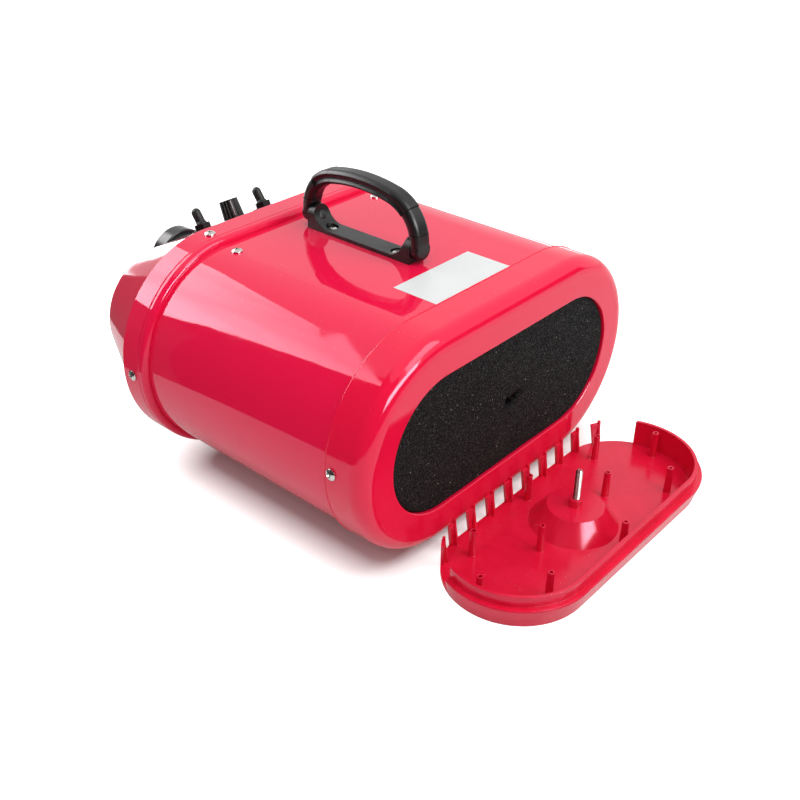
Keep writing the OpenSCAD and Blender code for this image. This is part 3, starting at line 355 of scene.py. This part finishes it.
label_white = worked("blank_label_film", (0.735, 0.745, 0.745), (0.70, 0.715, 0.715), (0.30, 0.42),
                     wave=(46, 9e-5), grain=(2600, 3e-6), cloud=30, scratch=0.6, dust=0.5,
                     dust_color=(0.5, 0.47, 0.45))
pale_strip_white = worked("pale_strip_finish", (0.56, 0.56, 0.55), (0.46, 0.46, 0.45), (0.36, 0.5),
                       grain=(3000, 8e-6), cloud=500)
# painted shade: a near-black matte finish for the shaded gaps at the handle's joints
seam_shade_black = worked("painted_seam_shade", (0.0016, 0.0016, 0.0016), (0.003, 0.003, 0.003), (0.75, 0.9),
                    grain=(2800, 8e-6), cloud=300, ior=1.2)

FINISHES = {
    glossy_red: "main_shell front_band nose_hood",
    cap_red: "rear_cap",
    cover_red: "rear_cover",
    black_handle: """handle_base handle_knuckle_front handle_knuckle_rear handle_arm_front handle_arm_rear
        handle_grip""",
    black_moulding: "speed_knob cover_knob switch_nut_left switch_nut_right filter_grille",
    black_outlet: "hose_outlet",
    boot_rubber: "switch_boot_left switch_boot_right cable_gland filter_sponge",
    foot_rubber: "feet motor_rings",
    nickel: "shell_screws band_screws cap_screws outlet_screws handle_screws foot_screws cover_stud",
    zinc: "motor_plate motor_clamp_plate tie_rods pot_nut",
    turned_steel: "handle_pins bearings_left bearings_right pot_shaft switch_lever_left switch_lever_right",
    cast_alu: "motor_frame_left motor_frame_right impeller_left impeller_right",
    spun_alu: "fan_can_left fan_can_right heat_sink",
    brass: "grille_insert",
    iron_stack: "stator_left stator_right rotor_left rotor_right",
    carbon: "motor_brushes",
    board_green: "speed_board",
    pot_green: "pot_body",
    switch_red: "switch_case_left switch_case_right",
    washer_gray: "switch_washer_left switch_washer_right",
    label_white: "blank_label",
}
finish_of = {name: mat for mat, names in FINISHES.items() for name in names.split()}
for name, ob in nodes.items():
    ob.data.materials.clear()
    ob.data.materials.append(finish_of[name])


# ---------------------------------------------------------------- modelling helpers
def new_piece(name, bm, mat, body, replaced=(), *, smooth_angle):
    """A finished piece from a bmesh: welded, turned outwards, shaded, and riding on its body.
    It stands for the nodes in replaced, and its edges are sharp from smooth_angle degrees on."""
    bmesh.ops.remove_doubles(bm, verts=bm.verts, dist=1e-6)
    bmesh.ops.recalc_face_normals(bm, faces=bm.faces)
    mesh = bpy.data.meshes.new(name)
    bm.to_mesh(mesh)
    bm.free()
    mesh.materials.append(mat)
    mesh.shade_smooth()
    if smooth_angle < 180:
        mesh.set_sharp_from_angle(angle=math.radians(smooth_angle))
    made = bpy.data.objects.new(name, mesh)
    scene.collection.objects.link(made)
    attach(made, body)
    if replaced:
        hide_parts(*replaced)
    return made


def spun(profile, steps):
    """A bmesh turned round Z from a profile of (radius, height) points."""
    bm = bmesh.new()
    verts = [bm.verts.new((r, 0, z)) for r, z in profile]
    edges = [bm.edges.new(pair) for pair in zip(verts, verts[1:])]
    bmesh.ops.spin(bm, geom=verts + edges, cent=(0, 0, 0), axis=(0, 0, 1), angle=2 * math.pi,
                   steps=steps, use_merge=True, use_duplicate=False)
    bmesh.ops.remove_doubles(bm, verts=bm.verts, dist=1e-7)
    bmesh.ops.recalc_face_normals(bm, faces=bm.faces)
    return bm


def cut_open(bm, point, normal, **cleared):
    """Cuts a bmesh at a plane, clears one side of it and closes the rim."""
    cut = bmesh.ops.bisect_plane(bm, geom=bm.verts[:] + bm.edges[:] + bm.faces[:], dist=1e-7,
                                 plane_co=point, plane_no=normal, **cleared)
    rim = [e for e in cut["geom_cut"] if isinstance(e, bmesh.types.BMEdge)]
    if rim:
        bmesh.ops.edgeloop_fill(bm, edges=rim)


def mesh_from(bm, name):
    """The mesh of a bmesh, which is used up."""
    mesh = bpy.data.meshes.new(name)
    bm.to_mesh(mesh)
    bm.free()
    return mesh


def carved(mesh, cutters):
    """A copy of a mesh with cutter meshes taken out of it."""
    body = bpy.data.objects.new("carving_body", mesh)
    scene.collection.objects.link(body)
    tools = []
    for cutter in cutters:
        tool = bpy.data.objects.new("carving_tool", cutter)
        scene.collection.objects.link(tool)
        tools.append(tool)
        cut = body.modifiers.new("cut", "BOOLEAN")
        cut.operation = "DIFFERENCE"
        cut.solver = "EXACT"
        cut.object = tool
    bpy.context.view_layer.update()
    result = bpy.data.meshes.new_from_object(body.evaluated_get(bpy.context.evaluated_depsgraph_get()))
    for used in [body] + tools:
        bpy.data.objects.remove(used)
    return result


# ---------------------------------------------------------------- screws
def screw_mesh(length, head_h=2.4):
    """A pan-head machine screw on z = 0 with a cross recess, its thread below. It is given in
    millimetres and made in metres."""
    head_r, shank_r, pitch, thread_depth = 4.0, 2.0, 0.8, 0.32
    rim_rounding, foot_chamfer, point_chamfer = 0.15, 0.12, 0.6
    dome_steps, thread_from = 8, -0.2
    dome_h = head_h * 0.6
    dome_r = (head_r * head_r + dome_h * dome_h) / (2 * dome_h)
    arc = math.asin((head_r - rim_rounding) / dome_r)
    profile = [(0, head_h)]
    for i in range(1, dome_steps + 1):
        a = arc * i / dome_steps
        profile.append((dome_r * math.sin(a), head_h - dome_r + dome_r * math.cos(a)))
    rim_z = profile[-1][1]
    profile += [(head_r, rim_z - rim_rounding), (head_r, foot_chamfer), (head_r - foot_chamfer, 0.0),
                (shank_r, 0.0)]
    z = thread_from
    while z - pitch > -length + pitch:
        profile += [(shank_r, z), (shank_r - thread_depth, z - pitch / 2)]
        z -= pitch
    profile += [(shank_r, z), (shank_r - point_chamfer, -length), (0, -length)]
    bm = spun([(r * MM, h * MM) for r, h in profile], steps=36)
    # the recess: two crossed blades that narrow towards their lower ends and reach 1.8 mm into the head
    blade_size = (5.0 * MM, 1.15 * MM, 2.8 * MM)
    narrow_x, narrow_y = 0.40, 0.72
    blade_z = (head_h + 1.3 - 1.7) * MM
    cutters = []
    for turn in (0, math.pi / 2):
        blade = bmesh.new()
        bmesh.ops.create_cube(blade, size=1.0, matrix=Matrix.Diagonal((*blade_size, 1)))
        for v in blade.verts:
            if v.co.z < 0:
                v.co.x *= narrow_x
                v.co.y *= narrow_y
        bmesh.ops.transform(blade, verts=blade.verts,
                            matrix=Matrix.Rotation(turn, 4, "Z") @ Matrix.Translation((0, 0, blade_z)))
        cutters.append(mesh_from(blade, "recess_blade"))
    return carved(mesh_from(bm, "screw_blank"), cutters)


def at_round_end(side, angle, depth, radius):
    """A spot on a round end of the housing, with Z pointing out of it."""
    turn = math.radians(angle if side > 0 else 180 - angle)
    return (HOUSING @ Matrix.Translation((side * HALF_LEN, 0, depth)) @ Matrix.Rotation(turn, 4, "Z")
            @ Matrix.Translation((radius, 0, 0)) @ Matrix.Rotation(math.pi / 2, 4, "Y"))


def screws(name, mesh, places, turn_seed):
    """The housing's screws of one kind as one piece, each turned to its own angle, standing for the
    node of that name."""
    draw = random.Random(turn_seed)
    bm = bmesh.new()
    for place in places:
        single = bmesh.new()
        single.from_mesh(mesh)
        spin = Matrix.Rotation(draw.uniform(0, math.pi), 4, "Z")
        bmesh.ops.transform(single, verts=single.verts, matrix=place @ spin)
        bm.from_mesh(mesh_from(single, "placed_screw"))
    new_piece(name + "_crosshead", bm, nickel, "housing", [name], smooth_angle=32)


SIDES = (-1, 1)
# degrees up or down from the middle of a round end
SCREW_ANGLE, CAP_SCREW_ANGLE = 88, 3.5
# depths in front of the rear face
SHELL_SCREW_D, BAND_SCREW_D, CAP_SCREW_D = BAND_D - 0.0153, BAND_D + 0.024 * 0.56, SEAM_D - 0.006
FOOT_SCREW_D = (SEAM_D + 0.022, BAND_D - 0.030)
FLANGE_D, FLANGE_SCREW_R = FACE_D + 0.003, 0.0305
HANDLE_SCREW_Y, HANDLE_SCREW_Z = 0.032, AXIS_Z + SHELL_R + 0.001
FOOT_SCREW_X, FOOT_SCREW_Z = 0.058, 0.006

housing_screw = screw_mesh(10)
screws("shell_screws", housing_screw,
       [at_round_end(s, a, SHELL_SCREW_D, SHELL_R) for s in SIDES for a in (-SCREW_ANGLE, SCREW_ANGLE)],
       turn_seed=3)
screws("band_screws", screw_mesh(11),
       [at_round_end(s, a, BAND_SCREW_D, BAND_R) for s in SIDES for a in (-SCREW_ANGLE, 0, SCREW_ANGLE)],
       turn_seed=8)
screws("cap_screws", screw_mesh(9),
       [at_round_end(s, CAP_SCREW_ANGLE, CAP_SCREW_D, CAP_R) for s in SIDES],
       turn_seed=21)
screws("outlet_screws", housing_screw,
       [HOUSING @ Matrix.Translation((0, 0, FLANGE_D)) @ Matrix.Rotation(math.radians(a), 4, "Z")
        @ Matrix.Translation((FLANGE_SCREW_R, 0, 0)) for a in (45, 135, 225, 315)],
       turn_seed=5)
screws("handle_screws", screw_mesh(11, head_h=1.9),
       [Matrix.Translation((0, HANDLE_Y + s * HANDLE_SCREW_Y, HANDLE_SCREW_Z)) for s in SIDES],
       turn_seed=13)
screws("foot_screws", housing_screw,
       [Matrix.Translation((s * FOOT_SCREW_X, REAR_Y - d, FOOT_SCREW_Z)) @ Matrix.Rotation(math.pi, 4, "X")
        for s in SIDES for d in FOOT_SCREW_D],
       turn_seed=17)


# ---------------------------------------------------------------- bead on the cap's front edge
def cap_edge_bead():
    """A slim rounded edge run round the cap where it laps over the shell."""
    bead_r = 0.55 * MM
    ring_r = CAP_R - 0.12 * MM
    ring_y = REAR_Y - SEAM_D + 0.3 * MM
    bm = bmesh.new()
    start = Matrix.Translation((HALF_LEN, ring_y, AXIS_Z - ring_r)) @ Matrix.Rotation(math.pi / 2, 4, "Y")
    made = bmesh.ops.create_circle(bm, segments=10, radius=bead_r, cap_ends=False, matrix=start)
    edges = list({e for v in made["verts"] for e in v.link_edges})
    for side in (1, -1):
        turned = bmesh.ops.spin(bm, geom=edges, cent=(side * HALF_LEN, 0, AXIS_Z), axis=(0, -1, 0),
                                angle=math.pi, steps=56, use_merge=False, use_duplicate=False)
        ends = [e for e in turned["geom_last"] if isinstance(e, bmesh.types.BMEdge)]
        run = bmesh.ops.extrude_edge_only(bm, edges=ends)
        moved = [v for v in run["geom"] if isinstance(v, bmesh.types.BMVert)]
        bmesh.ops.translate(bm, verts=moved, vec=(-side * 2 * HALF_LEN, 0, 0))
        edges = [e for e in run["geom"] if isinstance(e, bmesh.types.BMEdge)]
    new_piece("cap_edge_bead", bm, cap_red, "housing", smooth_angle=180)


cap_edge_bead()


# ---------------------------------------------------------------- handle
def handle_seams():
    """Painted shade at the joints between the grip, the arms and the knuckles: thin near-black slices that
    stand a hair proud, for the shaded gaps.
    """
    slice_t, proud = 0.55 * MM, 0.10 * MM
    knuckle_z = 186.5 * MM
    grip_y, grip_z = 43.5 * MM, 200.67 * MM
    tilt = math.radians(46)
    joined = bmesh.new()
    for name, side in (("handle_arm_front", -1), ("handle_arm_rear", 1)):
        at_knuckle = Vector((0, 0, knuckle_z + slice_t / 2)), Vector((0, 0, 1))
        at_grip = (Vector((0, HANDLE_Y + side * grip_y, grip_z)),
                   Vector((0, side * math.sin(tilt), -math.cos(tilt))))
        for point, normal in (at_knuckle, at_grip):
            bm = bmesh.new()
            bm.from_mesh(nodes[name].data)
            bmesh.ops.remove_doubles(bm, verts=bm.verts, dist=1e-6)
            for way in (1, -1):
                cut_open(bm, point + way * normal * slice_t / 2, normal * way, clear_outer=True)
            bmesh.ops.recalc_face_normals(bm, faces=bm.faces)
            middle = sum((v.co for v in bm.verts), Vector()) / len(bm.verts)
            for v in bm.verts:
                out = v.co - middle
                out -= normal * out.dot(normal)
                v.co += out.normalized() * proud
            joined.from_mesh(mesh_from(bm, "seam_slice"))
    new_piece("handle_seams", joined, seam_shade_black, "handle", smooth_angle=30)


def pivot_plugs():
    """Domed plugs over the pins on the inner sides of the base's ears."""
    half_gap, pivot_z = 42.1 * MM, 175 * MM
    lean = math.pi / 3
    dome = ((0, 0.9), (1.8, 0.82), (3.0, 0.6), (3.6, 0.25), (3.8, -1.5), (0, -1.5))
    joined = bmesh.new()
    for side in SIDES:
        plug = spun([(r * MM, h * MM) for r, h in dome], steps=40)
        bmesh.ops.transform(plug, verts=plug.verts,
                            matrix=Matrix.Translation((0, HANDLE_Y + side * half_gap, pivot_z))
                            @ Matrix.Rotation(side * lean, 4, "X"))
        joined.from_mesh(mesh_from(plug, "plug"))
    new_piece("pivot_plugs", joined, black_handle, "housing", smooth_angle=50)


handle_seams()
pivot_plugs()


# ---------------------------------------------------------------- threaded stud of the cover
def threaded_stud():
    """M5 stud: one tooth swept up a helix, cut square at the foot and rounded off at the tip."""
    radius, pitch, steps = 2.5 * MM, 0.8 * MM, 24
    foot, tip = 5.0 * MM, 48.0 * MM
    root, crest = radius - 0.46 * MM, radius - 0.04 * MM
    rounding_h, rounding_in = 1.6 * MM, 0.9 * MM
    turns = int((tip - foot) / pitch) + 3
    bm = bmesh.new()
    shape = [(root, 0), (crest, 0.34 * pitch), (crest, 0.5 * pitch), (root, 0.84 * pitch), (root, pitch)]
    verts = [bm.verts.new((r, 0, foot - pitch + z)) for r, z in shape]
    edges = [bm.edges.new(pair) for pair in zip(verts, verts[1:])]
    bmesh.ops.spin(bm, geom=verts + edges, cent=(0, 0, 0), axis=(0, 0, 1), angle=2 * math.pi * turns,
                   dvec=(0, 0, pitch / steps), steps=steps * turns, use_merge=False, use_duplicate=False)
    bmesh.ops.remove_doubles(bm, verts=bm.verts, dist=2e-6)
    cut_open(bm, (0, 0, foot), (0, 0, 1), clear_inner=True)
    cut_open(bm, (0, 0, tip), (0, 0, 1), clear_outer=True)
    for v in bm.verts:
        over = v.co.z - (tip - rounding_h)
        reach = math.hypot(v.co.x, v.co.y)
        if over > 0 and reach > 0:
            limit = radius - rounding_in * (over / rounding_h) ** 2
            if reach > limit:
                v.co.x *= limit / reach
                v.co.y *= limit / reach
    bmesh.ops.translate(bm, verts=bm.verts, vec=(COVER_X, COVER_Y, 0))
    new_piece("cover_stud_thread", bm, nickel, "cover_clamp", ["cover_stud"], smooth_angle=28)


threaded_stud()


# ---------------------------------------------------------------- filter foam
# the slit that the stud has torn: its middle from the filter's, and its slant
SLIT_X, SLIT_Z = -6.2 * MM, -2.1 * MM
SLIT_TURN, SLIT_COS, SLIT_SIN = 0.21, 0.978, 0.208


def foam_finish():
    """Open-cell foam: a network of struts with pits painted darker as shade, and a few struts painted light
    as glints.
    """
    mat, tree, bsdf = material("open_cell_foam")
    bsdf.inputs["IOR"].default_value = 1.18
    position = add(tree, "TexCoord").outputs["Object"]
    cells = add(tree, "TexVoronoi", {"Scale": 820.0}, feature="F1")
    feed(tree, position, cells.inputs["Vector"])
    struts = remap(tree, cells.outputs["Distance"], 0.25, 0.72)
    glints = add(tree, "TexNoise", {"Scale": 1900.0, "Detail": 1.0})
    feed(tree, position, glints.inputs["Vector"])
    glint = math_node(tree, "MULTIPLY", remap(tree, glints.outputs["Fac"], 0.60, 0.74), struts)
    cloud = add(tree, "TexNoise", {"Scale": 26.0, "Detail": 4.0})
    feed(tree, position, cloud.inputs["Vector"])
    lint_cells = add(tree, "TexVoronoi", {"Scale": 150.0})
    feed(tree, position, lint_cells.inputs["Vector"])
    lint = remap(tree, lint_cells.outputs["Distance"], 0.085, 0.05)
    # painted shade: the pits between the struts are coloured darker, standing for the shade inside the open
    # cells
    base = mix_color(tree, struts, (0.0012, 0.0012, 0.0012), (0.0088, 0.0102, 0.0104))
    worn = remap(tree, cloud.outputs["Fac"], 0.35, 0.75, 0.0, 0.5)
    base = mix_color(tree, worn, base, (0.012, 0.012, 0.012))
    # painted highlight: a few struts are coloured light as glints
    base = mix_color(tree, glint, base, (0.16, 0.16, 0.155))
    base = mix_color(tree, lint, base, (0.30, 0.29, 0.27))
    # painted shade: the foam's colour is darkened round the slit, where the torn hole falls into shade
    slit_place = {"Location": (SLIT_X, REAR_Y, AXIS_Z + SLIT_Z), "Rotation": (0, SLIT_TURN, 0),
                  "Scale": (0.011, 1.0, 0.0042)}
    turned = add(tree, "Mapping", slit_place, vector_type="TEXTURE")
    feed(tree, position, turned.inputs["Vector"])
    spread = add(tree, "VectorMath", operation="LENGTH")
    feed(tree, turned.outputs["Vector"], spread.inputs[0])
    fray = remap(tree, glints.outputs["Fac"], 0.3, 0.7, -0.35, 0.35)
    ragged = math_node(tree, "ADD", spread.outputs["Value"], fray)
    painted_slit_shade = remap(tree, ragged, 1.35, 0.75)
    base = mix_color(tree, painted_slit_shade, base, (0.0006, 0.0006, 0.0006))
    feed(tree, base, bsdf.inputs["Base Color"])
    feed(tree, remap(tree, struts, 0, 1, 0.95, 0.6), bsdf.inputs["Roughness"])
    bump = add(tree, "Bump", {"Strength": 1.0, "Distance": 1.0})
    feed(tree, math_node(tree, "MULTIPLY", struts, 3.5e-4), bump.inputs["Height"])
    feed(tree, bump.outputs["Normal"], bsdf.inputs["Normal"])
    return mat


def filter_foam():
    """The filter's foam pad: a cut slab with soft edges, a rippled face, and the hole and slit that
    the stud has torn. Its outer face is at y = 0 until it is put in its place."""
    half_w, radius, thick = HALF_LEN, FILTER_R, 12 * MM
    outer_y = REAR_Y - 1.5 * MM
    columns, rows = 250, 104
    hole_r, fray, fray_scale = 2.7 * MM, 1.3 * MM, 700
    slit_half_l, slit_half_w, slit_fray = 7.2 * MM, 1.5 * MM, 0.6
    # how deep the outer face sinks, and over what length that fades
    edge_depth, edge_reach = 1.4 * MM, 0.9 * MM
    hole_depth, hole_reach, hole_lip = 1.5 * MM, 1.6 * MM, 2.6 * MM
    hole_aspect, hole_slant = 2.6, 0.2
    # ripples as (height, scale), and how high they may stand
    ripples, highest = ((0.35 * MM, 55), (0.13 * MM, 620)), 0.4 * MM
    bm = bmesh.new()
    bmesh.ops.create_grid(bm, x_segments=columns, y_segments=rows, size=1.0)
    for v in bm.verts:
        z = radius * math.sin(v.co.y * math.pi / 2)
        width = half_w + math.sqrt(max(radius * radius - z * z, 0))
        v.co = Vector((v.co.x * width, 0, z))
    # the stud's round hole and the slit beside it
    torn = []
    for f in bm.faces:
        c = f.calc_center_median()
        ragged = fray * noise.noise(c * fray_scale)
        round_hole = math.hypot(c.x, c.z) < hole_r + ragged
        along = (c.x - SLIT_X) * SLIT_COS - (c.z - SLIT_Z) * SLIT_SIN
        across = (c.x - SLIT_X) * SLIT_SIN + (c.z - SLIT_Z) * SLIT_COS
        slit = (along / slit_half_l) ** 2 + (across / (slit_half_w + slit_fray * ragged)) ** 2 < 1
        if round_hole or slit:
            torn.append(f)
    bmesh.ops.delete(bm, geom=torn, context="FACES")
    loose = [v for v in bm.verts if not v.link_faces]
    bmesh.ops.delete(bm, geom=loose, context="VERTS")
    # the inner face and the walls
    outer_faces = bm.faces[:]
    bmesh.ops.extrude_face_region(bm, geom=outer_faces, use_keep_orig=True)
    outer_verts = {v for f in outer_faces for v in f.verts}
    for v in bm.verts:
        if v not in outer_verts:
            v.co.y = -thick
    # the outer face sinks towards its edge and towards the hole and slit
    for v in outer_verts:
        reach = radius - math.hypot(max(abs(v.co.x) - half_w, 0), v.co.z)
        edge_drop = edge_depth * math.exp(-max(reach, 0) / edge_reach)
        to_hole = math.hypot((v.co.x - SLIT_X) / hole_aspect, v.co.z - SLIT_Z + hole_slant * v.co.x)
        hole_drop = hole_depth * math.exp(-max(to_hole - hole_lip, 0) / hole_reach)
        ripple = sum(height * noise.noise(v.co * scale) for height, scale in ripples)
        v.co.y = -edge_drop - hole_drop + min(ripple, highest)
    bmesh.ops.translate(bm, verts=bm.verts, vec=(0, outer_y, AXIS_Z))
    made = new_piece("filter_foam", bm, foam_finish(), "housing", ["filter_sponge"], smooth_angle=70)
    return made


filter_foam()


# ---------------------------------------------------------------- pale strip on the speed knob
def knob_pale_strip():
    """A pale strip down one of the knob's ribs, which lean inwards to the top."""
    size, edge = (0.5 * MM, 0.8 * MM, 12.0 * MM), 0.1 * MM
    angle = math.radians(-25)
    middle_r, middle_h = 7.75 * MM, 8.8 * MM
    foot_r, top_r, knob_h = 8.6, 7.6, 15.2
    # the knob's seat on the nose's slope, with Z pointing out of it
    seat_d = FACE_D - 0.018
    seat_r = BAND_R - 0.0028 - (seat_d - NOSE_D) * math.tan(SLOPE)
    seat = HOUSING @ Matrix.Translation((0, seat_r, seat_d)) @ Matrix.Rotation(SLOPE - math.pi / 2, 4, "X")
    bm = bmesh.new()
    bmesh.ops.create_cube(bm, size=1.0, matrix=Matrix.Diagonal((*size, 1)))
    bmesh.ops.bevel(bm, geom=bm.edges[:], offset=edge, offset_type="OFFSET", affect="EDGES", segments=2,
                    profile=0.5, material=-1)
    rib = (Matrix.Rotation(angle, 4, "Z") @ Matrix.Translation((0, middle_r, middle_h))
           @ Matrix.Rotation(math.atan2(foot_r - top_r, knob_h), 4, "X"))
    bmesh.ops.transform(bm, verts=bm.verts, matrix=seat @ rib)
    new_piece("knob_pale_strip", bm, pale_strip_white, "speed_control", smooth_angle=30)


knob_pale_strip()

# ---------------------------------------------------------------- stage
WHITE_BACKGROUND = 1.0
ROOM_LIGHT = 0.50
FLOOR_HALF = 6
# the cards' upper edges, as (x, y, height) from end to end
CARD_EDGE = [(0.054, -0.389, 0.20), (0.300, -0.220, 0.215), (0.424, -0.122, 0.48), (0.90, 0.22, 0.52)]
ROOM_EDGE = [(0.70, -1.08, 3.0), (1.12, -1.08, 3.0), (1.35, 0.2, 3.0), (1.35, 1.2, 3.0), (0.62, 2.0, 3.0)]
BACK_EDGE = [(0.62, 2.0, 0.75), (-0.60, 2.3, 0.75), (-2.1, 1.3, 0.75)]
# the front softbox stands upright at SOFTBOX_Y, with corners as (x, z)
SOFTBOX_Y = -1.05
SOFTBOX_CORNERS = [
    (-0.13, 0.45), (0.75, 0.45), (0.85, 0.15), (1.05, 0.15), (0.90, 0.50), (0.92, 1.65),
    (0.35, 1.65), (-0.05, 1.58), (0.35, 1.51), (0.10, 1.50), (-0.13, 1.10),
]
# the reflector lies just over the floor, with corners as (x, y)
REFLECTOR_Z = 0.002
REFLECTOR_CORNERS = [(0.02, -0.40), (-0.30, -2.0), (-1.6, -2.0), (-1.6, -0.5), (-0.12, -0.37)]
LAMP_AIM = Vector((0.05, 0.0, 0.12))
FILL_SIZE = (0.6, 0.6)


def seen_background(tree, in_gloss=1.0):
    """1 on camera rays and on rays through glass, in_gloss on gloss rays and 0 on all others."""
    path = add(tree, "LightPath")
    gloss = math_node(tree, "MULTIPLY", path.outputs["Is Glossy Ray"], in_gloss)
    seen = math_node(tree, "MAXIMUM", path.outputs["Is Camera Ray"], gloss)
    return math_node(tree, "MAXIMUM", seen, path.outputs["Is Transmission Ray"])


def floor_finish():
    """Pale floor that keeps the shadow under the object and runs out to the background's white."""
    mat, tree, bsdf = material("pale_floor")
    bsdf.inputs["Roughness"].default_value = 0.8
    bsdf.inputs["Specular IOR Level"].default_value = 0.1
    position = add(tree, "TexCoord").outputs["Object"]
    mottle = add(tree, "TexNoise", {"Scale": 3.0, "Detail": 3.0})
    feed(tree, position, mottle.inputs["Vector"])
    feed(tree, mix_color(tree, mottle.outputs["Fac"], (0.69, 0.69, 0.69), (0.73, 0.73, 0.73)),
         bsdf.inputs["Base Color"])
    # how far a spot lies outside the patch of floor under the housing, which keeps its shadow
    patch_middle, patch_half = (0, 0.020, 0), (0.100, 0.080, 0)
    glow_from, glow_full, glow_in_gloss = 0.012, 0.050, 0.25
    spot = position
    for operation, value in (("SUBTRACT", patch_middle), ("ABSOLUTE", None), ("SUBTRACT", patch_half),
                             ("MAXIMUM", (0, 0, 0)), ("LENGTH", None)):
        step = add(tree, "VectorMath", operation=operation)
        feed(tree, spot, step.inputs[0])
        if value:
            step.inputs[1].default_value = value
        spot = step.outputs["Value" if operation == "LENGTH" else "Vector"]
    lift = remap(tree, spot, glow_from, glow_full)
    glow = add(tree, "Emission")
    seen = seen_background(tree, glow_in_gloss)
    feed(tree, math_node(tree, "MULTIPLY", seen, lift), glow.inputs["Strength"])
    both = add(tree, "AddShader")
    feed(tree, bsdf.outputs[0], both.inputs[0])
    feed(tree, glow.outputs[0], both.inputs[1])
    feed(tree, both.outputs[0], tree.nodes["Material Output"].inputs["Surface"])
    return mat


def staged_sheet(name, corners, mat, gloss_only=True):
    """A flat sheet of the set, seen in the gloss alone or by everything."""
    mesh = bpy.data.meshes.new(name)
    mesh.from_pydata(corners, [], [tuple(range(len(corners)))])
    mesh.materials.append(mat)
    made = bpy.data.objects.new(name, mesh)
    scene.collection.objects.link(made)
    made.visible_camera = not gloss_only
    made.visible_shadow = not gloss_only
    made.visible_diffuse = not gloss_only


def glowing(name, color, near, far):
    """A lit, cloudy cloth whose strength runs from near's (x, strength) to far's and grows towards
    its foot."""
    foot, top = (0.65, 1.8), (1.50, 0.75)  # as (z, factor)
    mat = bpy.data.materials.new(name)
    mat.use_nodes = True
    tree = mat.node_tree
    tree.nodes.remove(tree.nodes["Principled BSDF"])
    glow = add(tree, "Emission", {"Color": (*color, 1)})
    position = add(tree, "TexCoord").outputs["Object"]
    split = add(tree, "SeparateXYZ")
    feed(tree, position, split.inputs[0])
    cloud = add(tree, "TexNoise", {"Scale": 3.2, "Detail": 3.0, "Roughness": 0.6})
    feed(tree, position, cloud.inputs["Vector"])
    strength = remap(tree, split.outputs["X"], near[0], far[0], near[1], far[1])
    for factor in (remap(tree, cloud.outputs["Fac"], 0.3, 0.7, 0.86, 1.12),
                   remap(tree, split.outputs["Z"], foot[0], top[0], foot[1], top[1])):
        strength = math_node(tree, "MULTIPLY", strength, factor)
    feed(tree, strength, glow.inputs["Strength"])
    feed(tree, glow.outputs[0], tree.nodes["Material Output"].inputs["Surface"])
    return mat


floor_corners = [(FLOOR_HALF * x, FLOOR_HALF * y, 0) for x, y in ((-1, -1), (1, -1), (1, 1), (-1, 1))]
staged_sheet("floor", floor_corners, floor_finish(), gloss_only=False)

# what only the gloss shows: low cards past the front corner, tall ones to the right and behind the
# camera, lower ones far behind the housing, a softbox in front of it and a reflector on the floor;
# the first low card is a dim gray cloth, the others are dark
card_mat, _, card_bsdf = material("dark_card")
card_bsdf.inputs["Base Color"].default_value = (0.03, 0.02, 0.02, 1)
card_bsdf.inputs["Roughness"].default_value = 0.9
gray_cloth = glowing("gray_cloth", (1.0, 0.95, 0.97), near=(0.0, 0.08), far=(0.3, 0.08))
for number, edge in enumerate((CARD_EDGE, ROOM_EDGE, BACK_EDGE)):
    for index, (near, far) in enumerate(zip(edge, edge[1:])):
        mat = gray_cloth if (number, index) == (0, 0) else card_mat
        staged_sheet(f"dark_card_{number}_{index}", [(*near[:2], 0), (*far[:2], 0), far, near], mat)
staged_sheet("front_softbox", [(x, SOFTBOX_Y, z) for x, z in SOFTBOX_CORNERS],
             glowing("softbox_cloth", (1.0, 0.97, 0.98), near=(-0.10, 4.7), far=(0.80, 6.0)))
staged_sheet("front_reflector", [(x, y, REFLECTOR_Z) for x, y in REFLECTOR_CORNERS],
             glowing("reflector_cloth", (1.0, 0.95, 0.97), near=(-1.0, 2.2), far=(0.0, 2.2)))

world = bpy.data.worlds.new("world")
scene.world = world
world.use_nodes = True
sky = world.node_tree
feed(sky, remap(sky, seen_background(sky), 0, 1, ROOM_LIGHT, WHITE_BACKGROUND),
     sky.nodes["Background"].inputs["Strength"])
sky.nodes["Background"].inputs["Color"].default_value = (1, 1, 1, 1)


def softbox(name, direction, size, brightness, lights=True, shows=True):
    """A rectangular lamp whose face has the given brightness. direction is (azimuth, elevation,
    distance) in degrees and metres from the spot that all lamps aim at. It lights the surfaces,
    shows in their gloss, or both."""
    azimuth, elevation = math.radians(direction[0]), math.radians(direction[1])
    place = LAMP_AIM + direction[2] * Vector((math.cos(azimuth) * math.cos(elevation),
                                              math.sin(azimuth) * math.cos(elevation), math.sin(elevation)))
    lamp = bpy.data.lights.new(name, "AREA")
    lamp.shape = "RECTANGLE"
    lamp.size, lamp.size_y = size
    lamp.energy = brightness * math.pi * size[0] * size[1]
    made = bpy.data.objects.new(name, lamp)
    scene.collection.objects.link(made)
    made.location = place
    made.rotation_euler = (LAMP_AIM - place).to_track_quat("-Z", "Y").to_euler()
    made.visible_camera = False
    made.visible_diffuse = lights
    made.visible_glossy = shows


softbox("side_fill", (8, 48, 1.6), FILL_SIZE, 2.1, shows=False)
softbox("top_fill", (-100, 82, 1.5), (0.8, 0.8), 2.1, shows=False)
softbox("rear_softbox", (112, 50, 1.5), (0.95, 0.75), 4.2)
softbox("rear_lamp", (62, 60, 1.6), (0.30, 0.20), 9.8, shows=False)
softbox("rear_strip", (86, 26, 1.6), (1.1, 0.42), 15.0, lights=False)
softbox("rear_fill", (105, 18, 1.5), FILL_SIZE, 1.7, shows=False)
softbox("front_fill", (-80, 35, 1.5), FILL_SIZE, 1.2, shows=False)
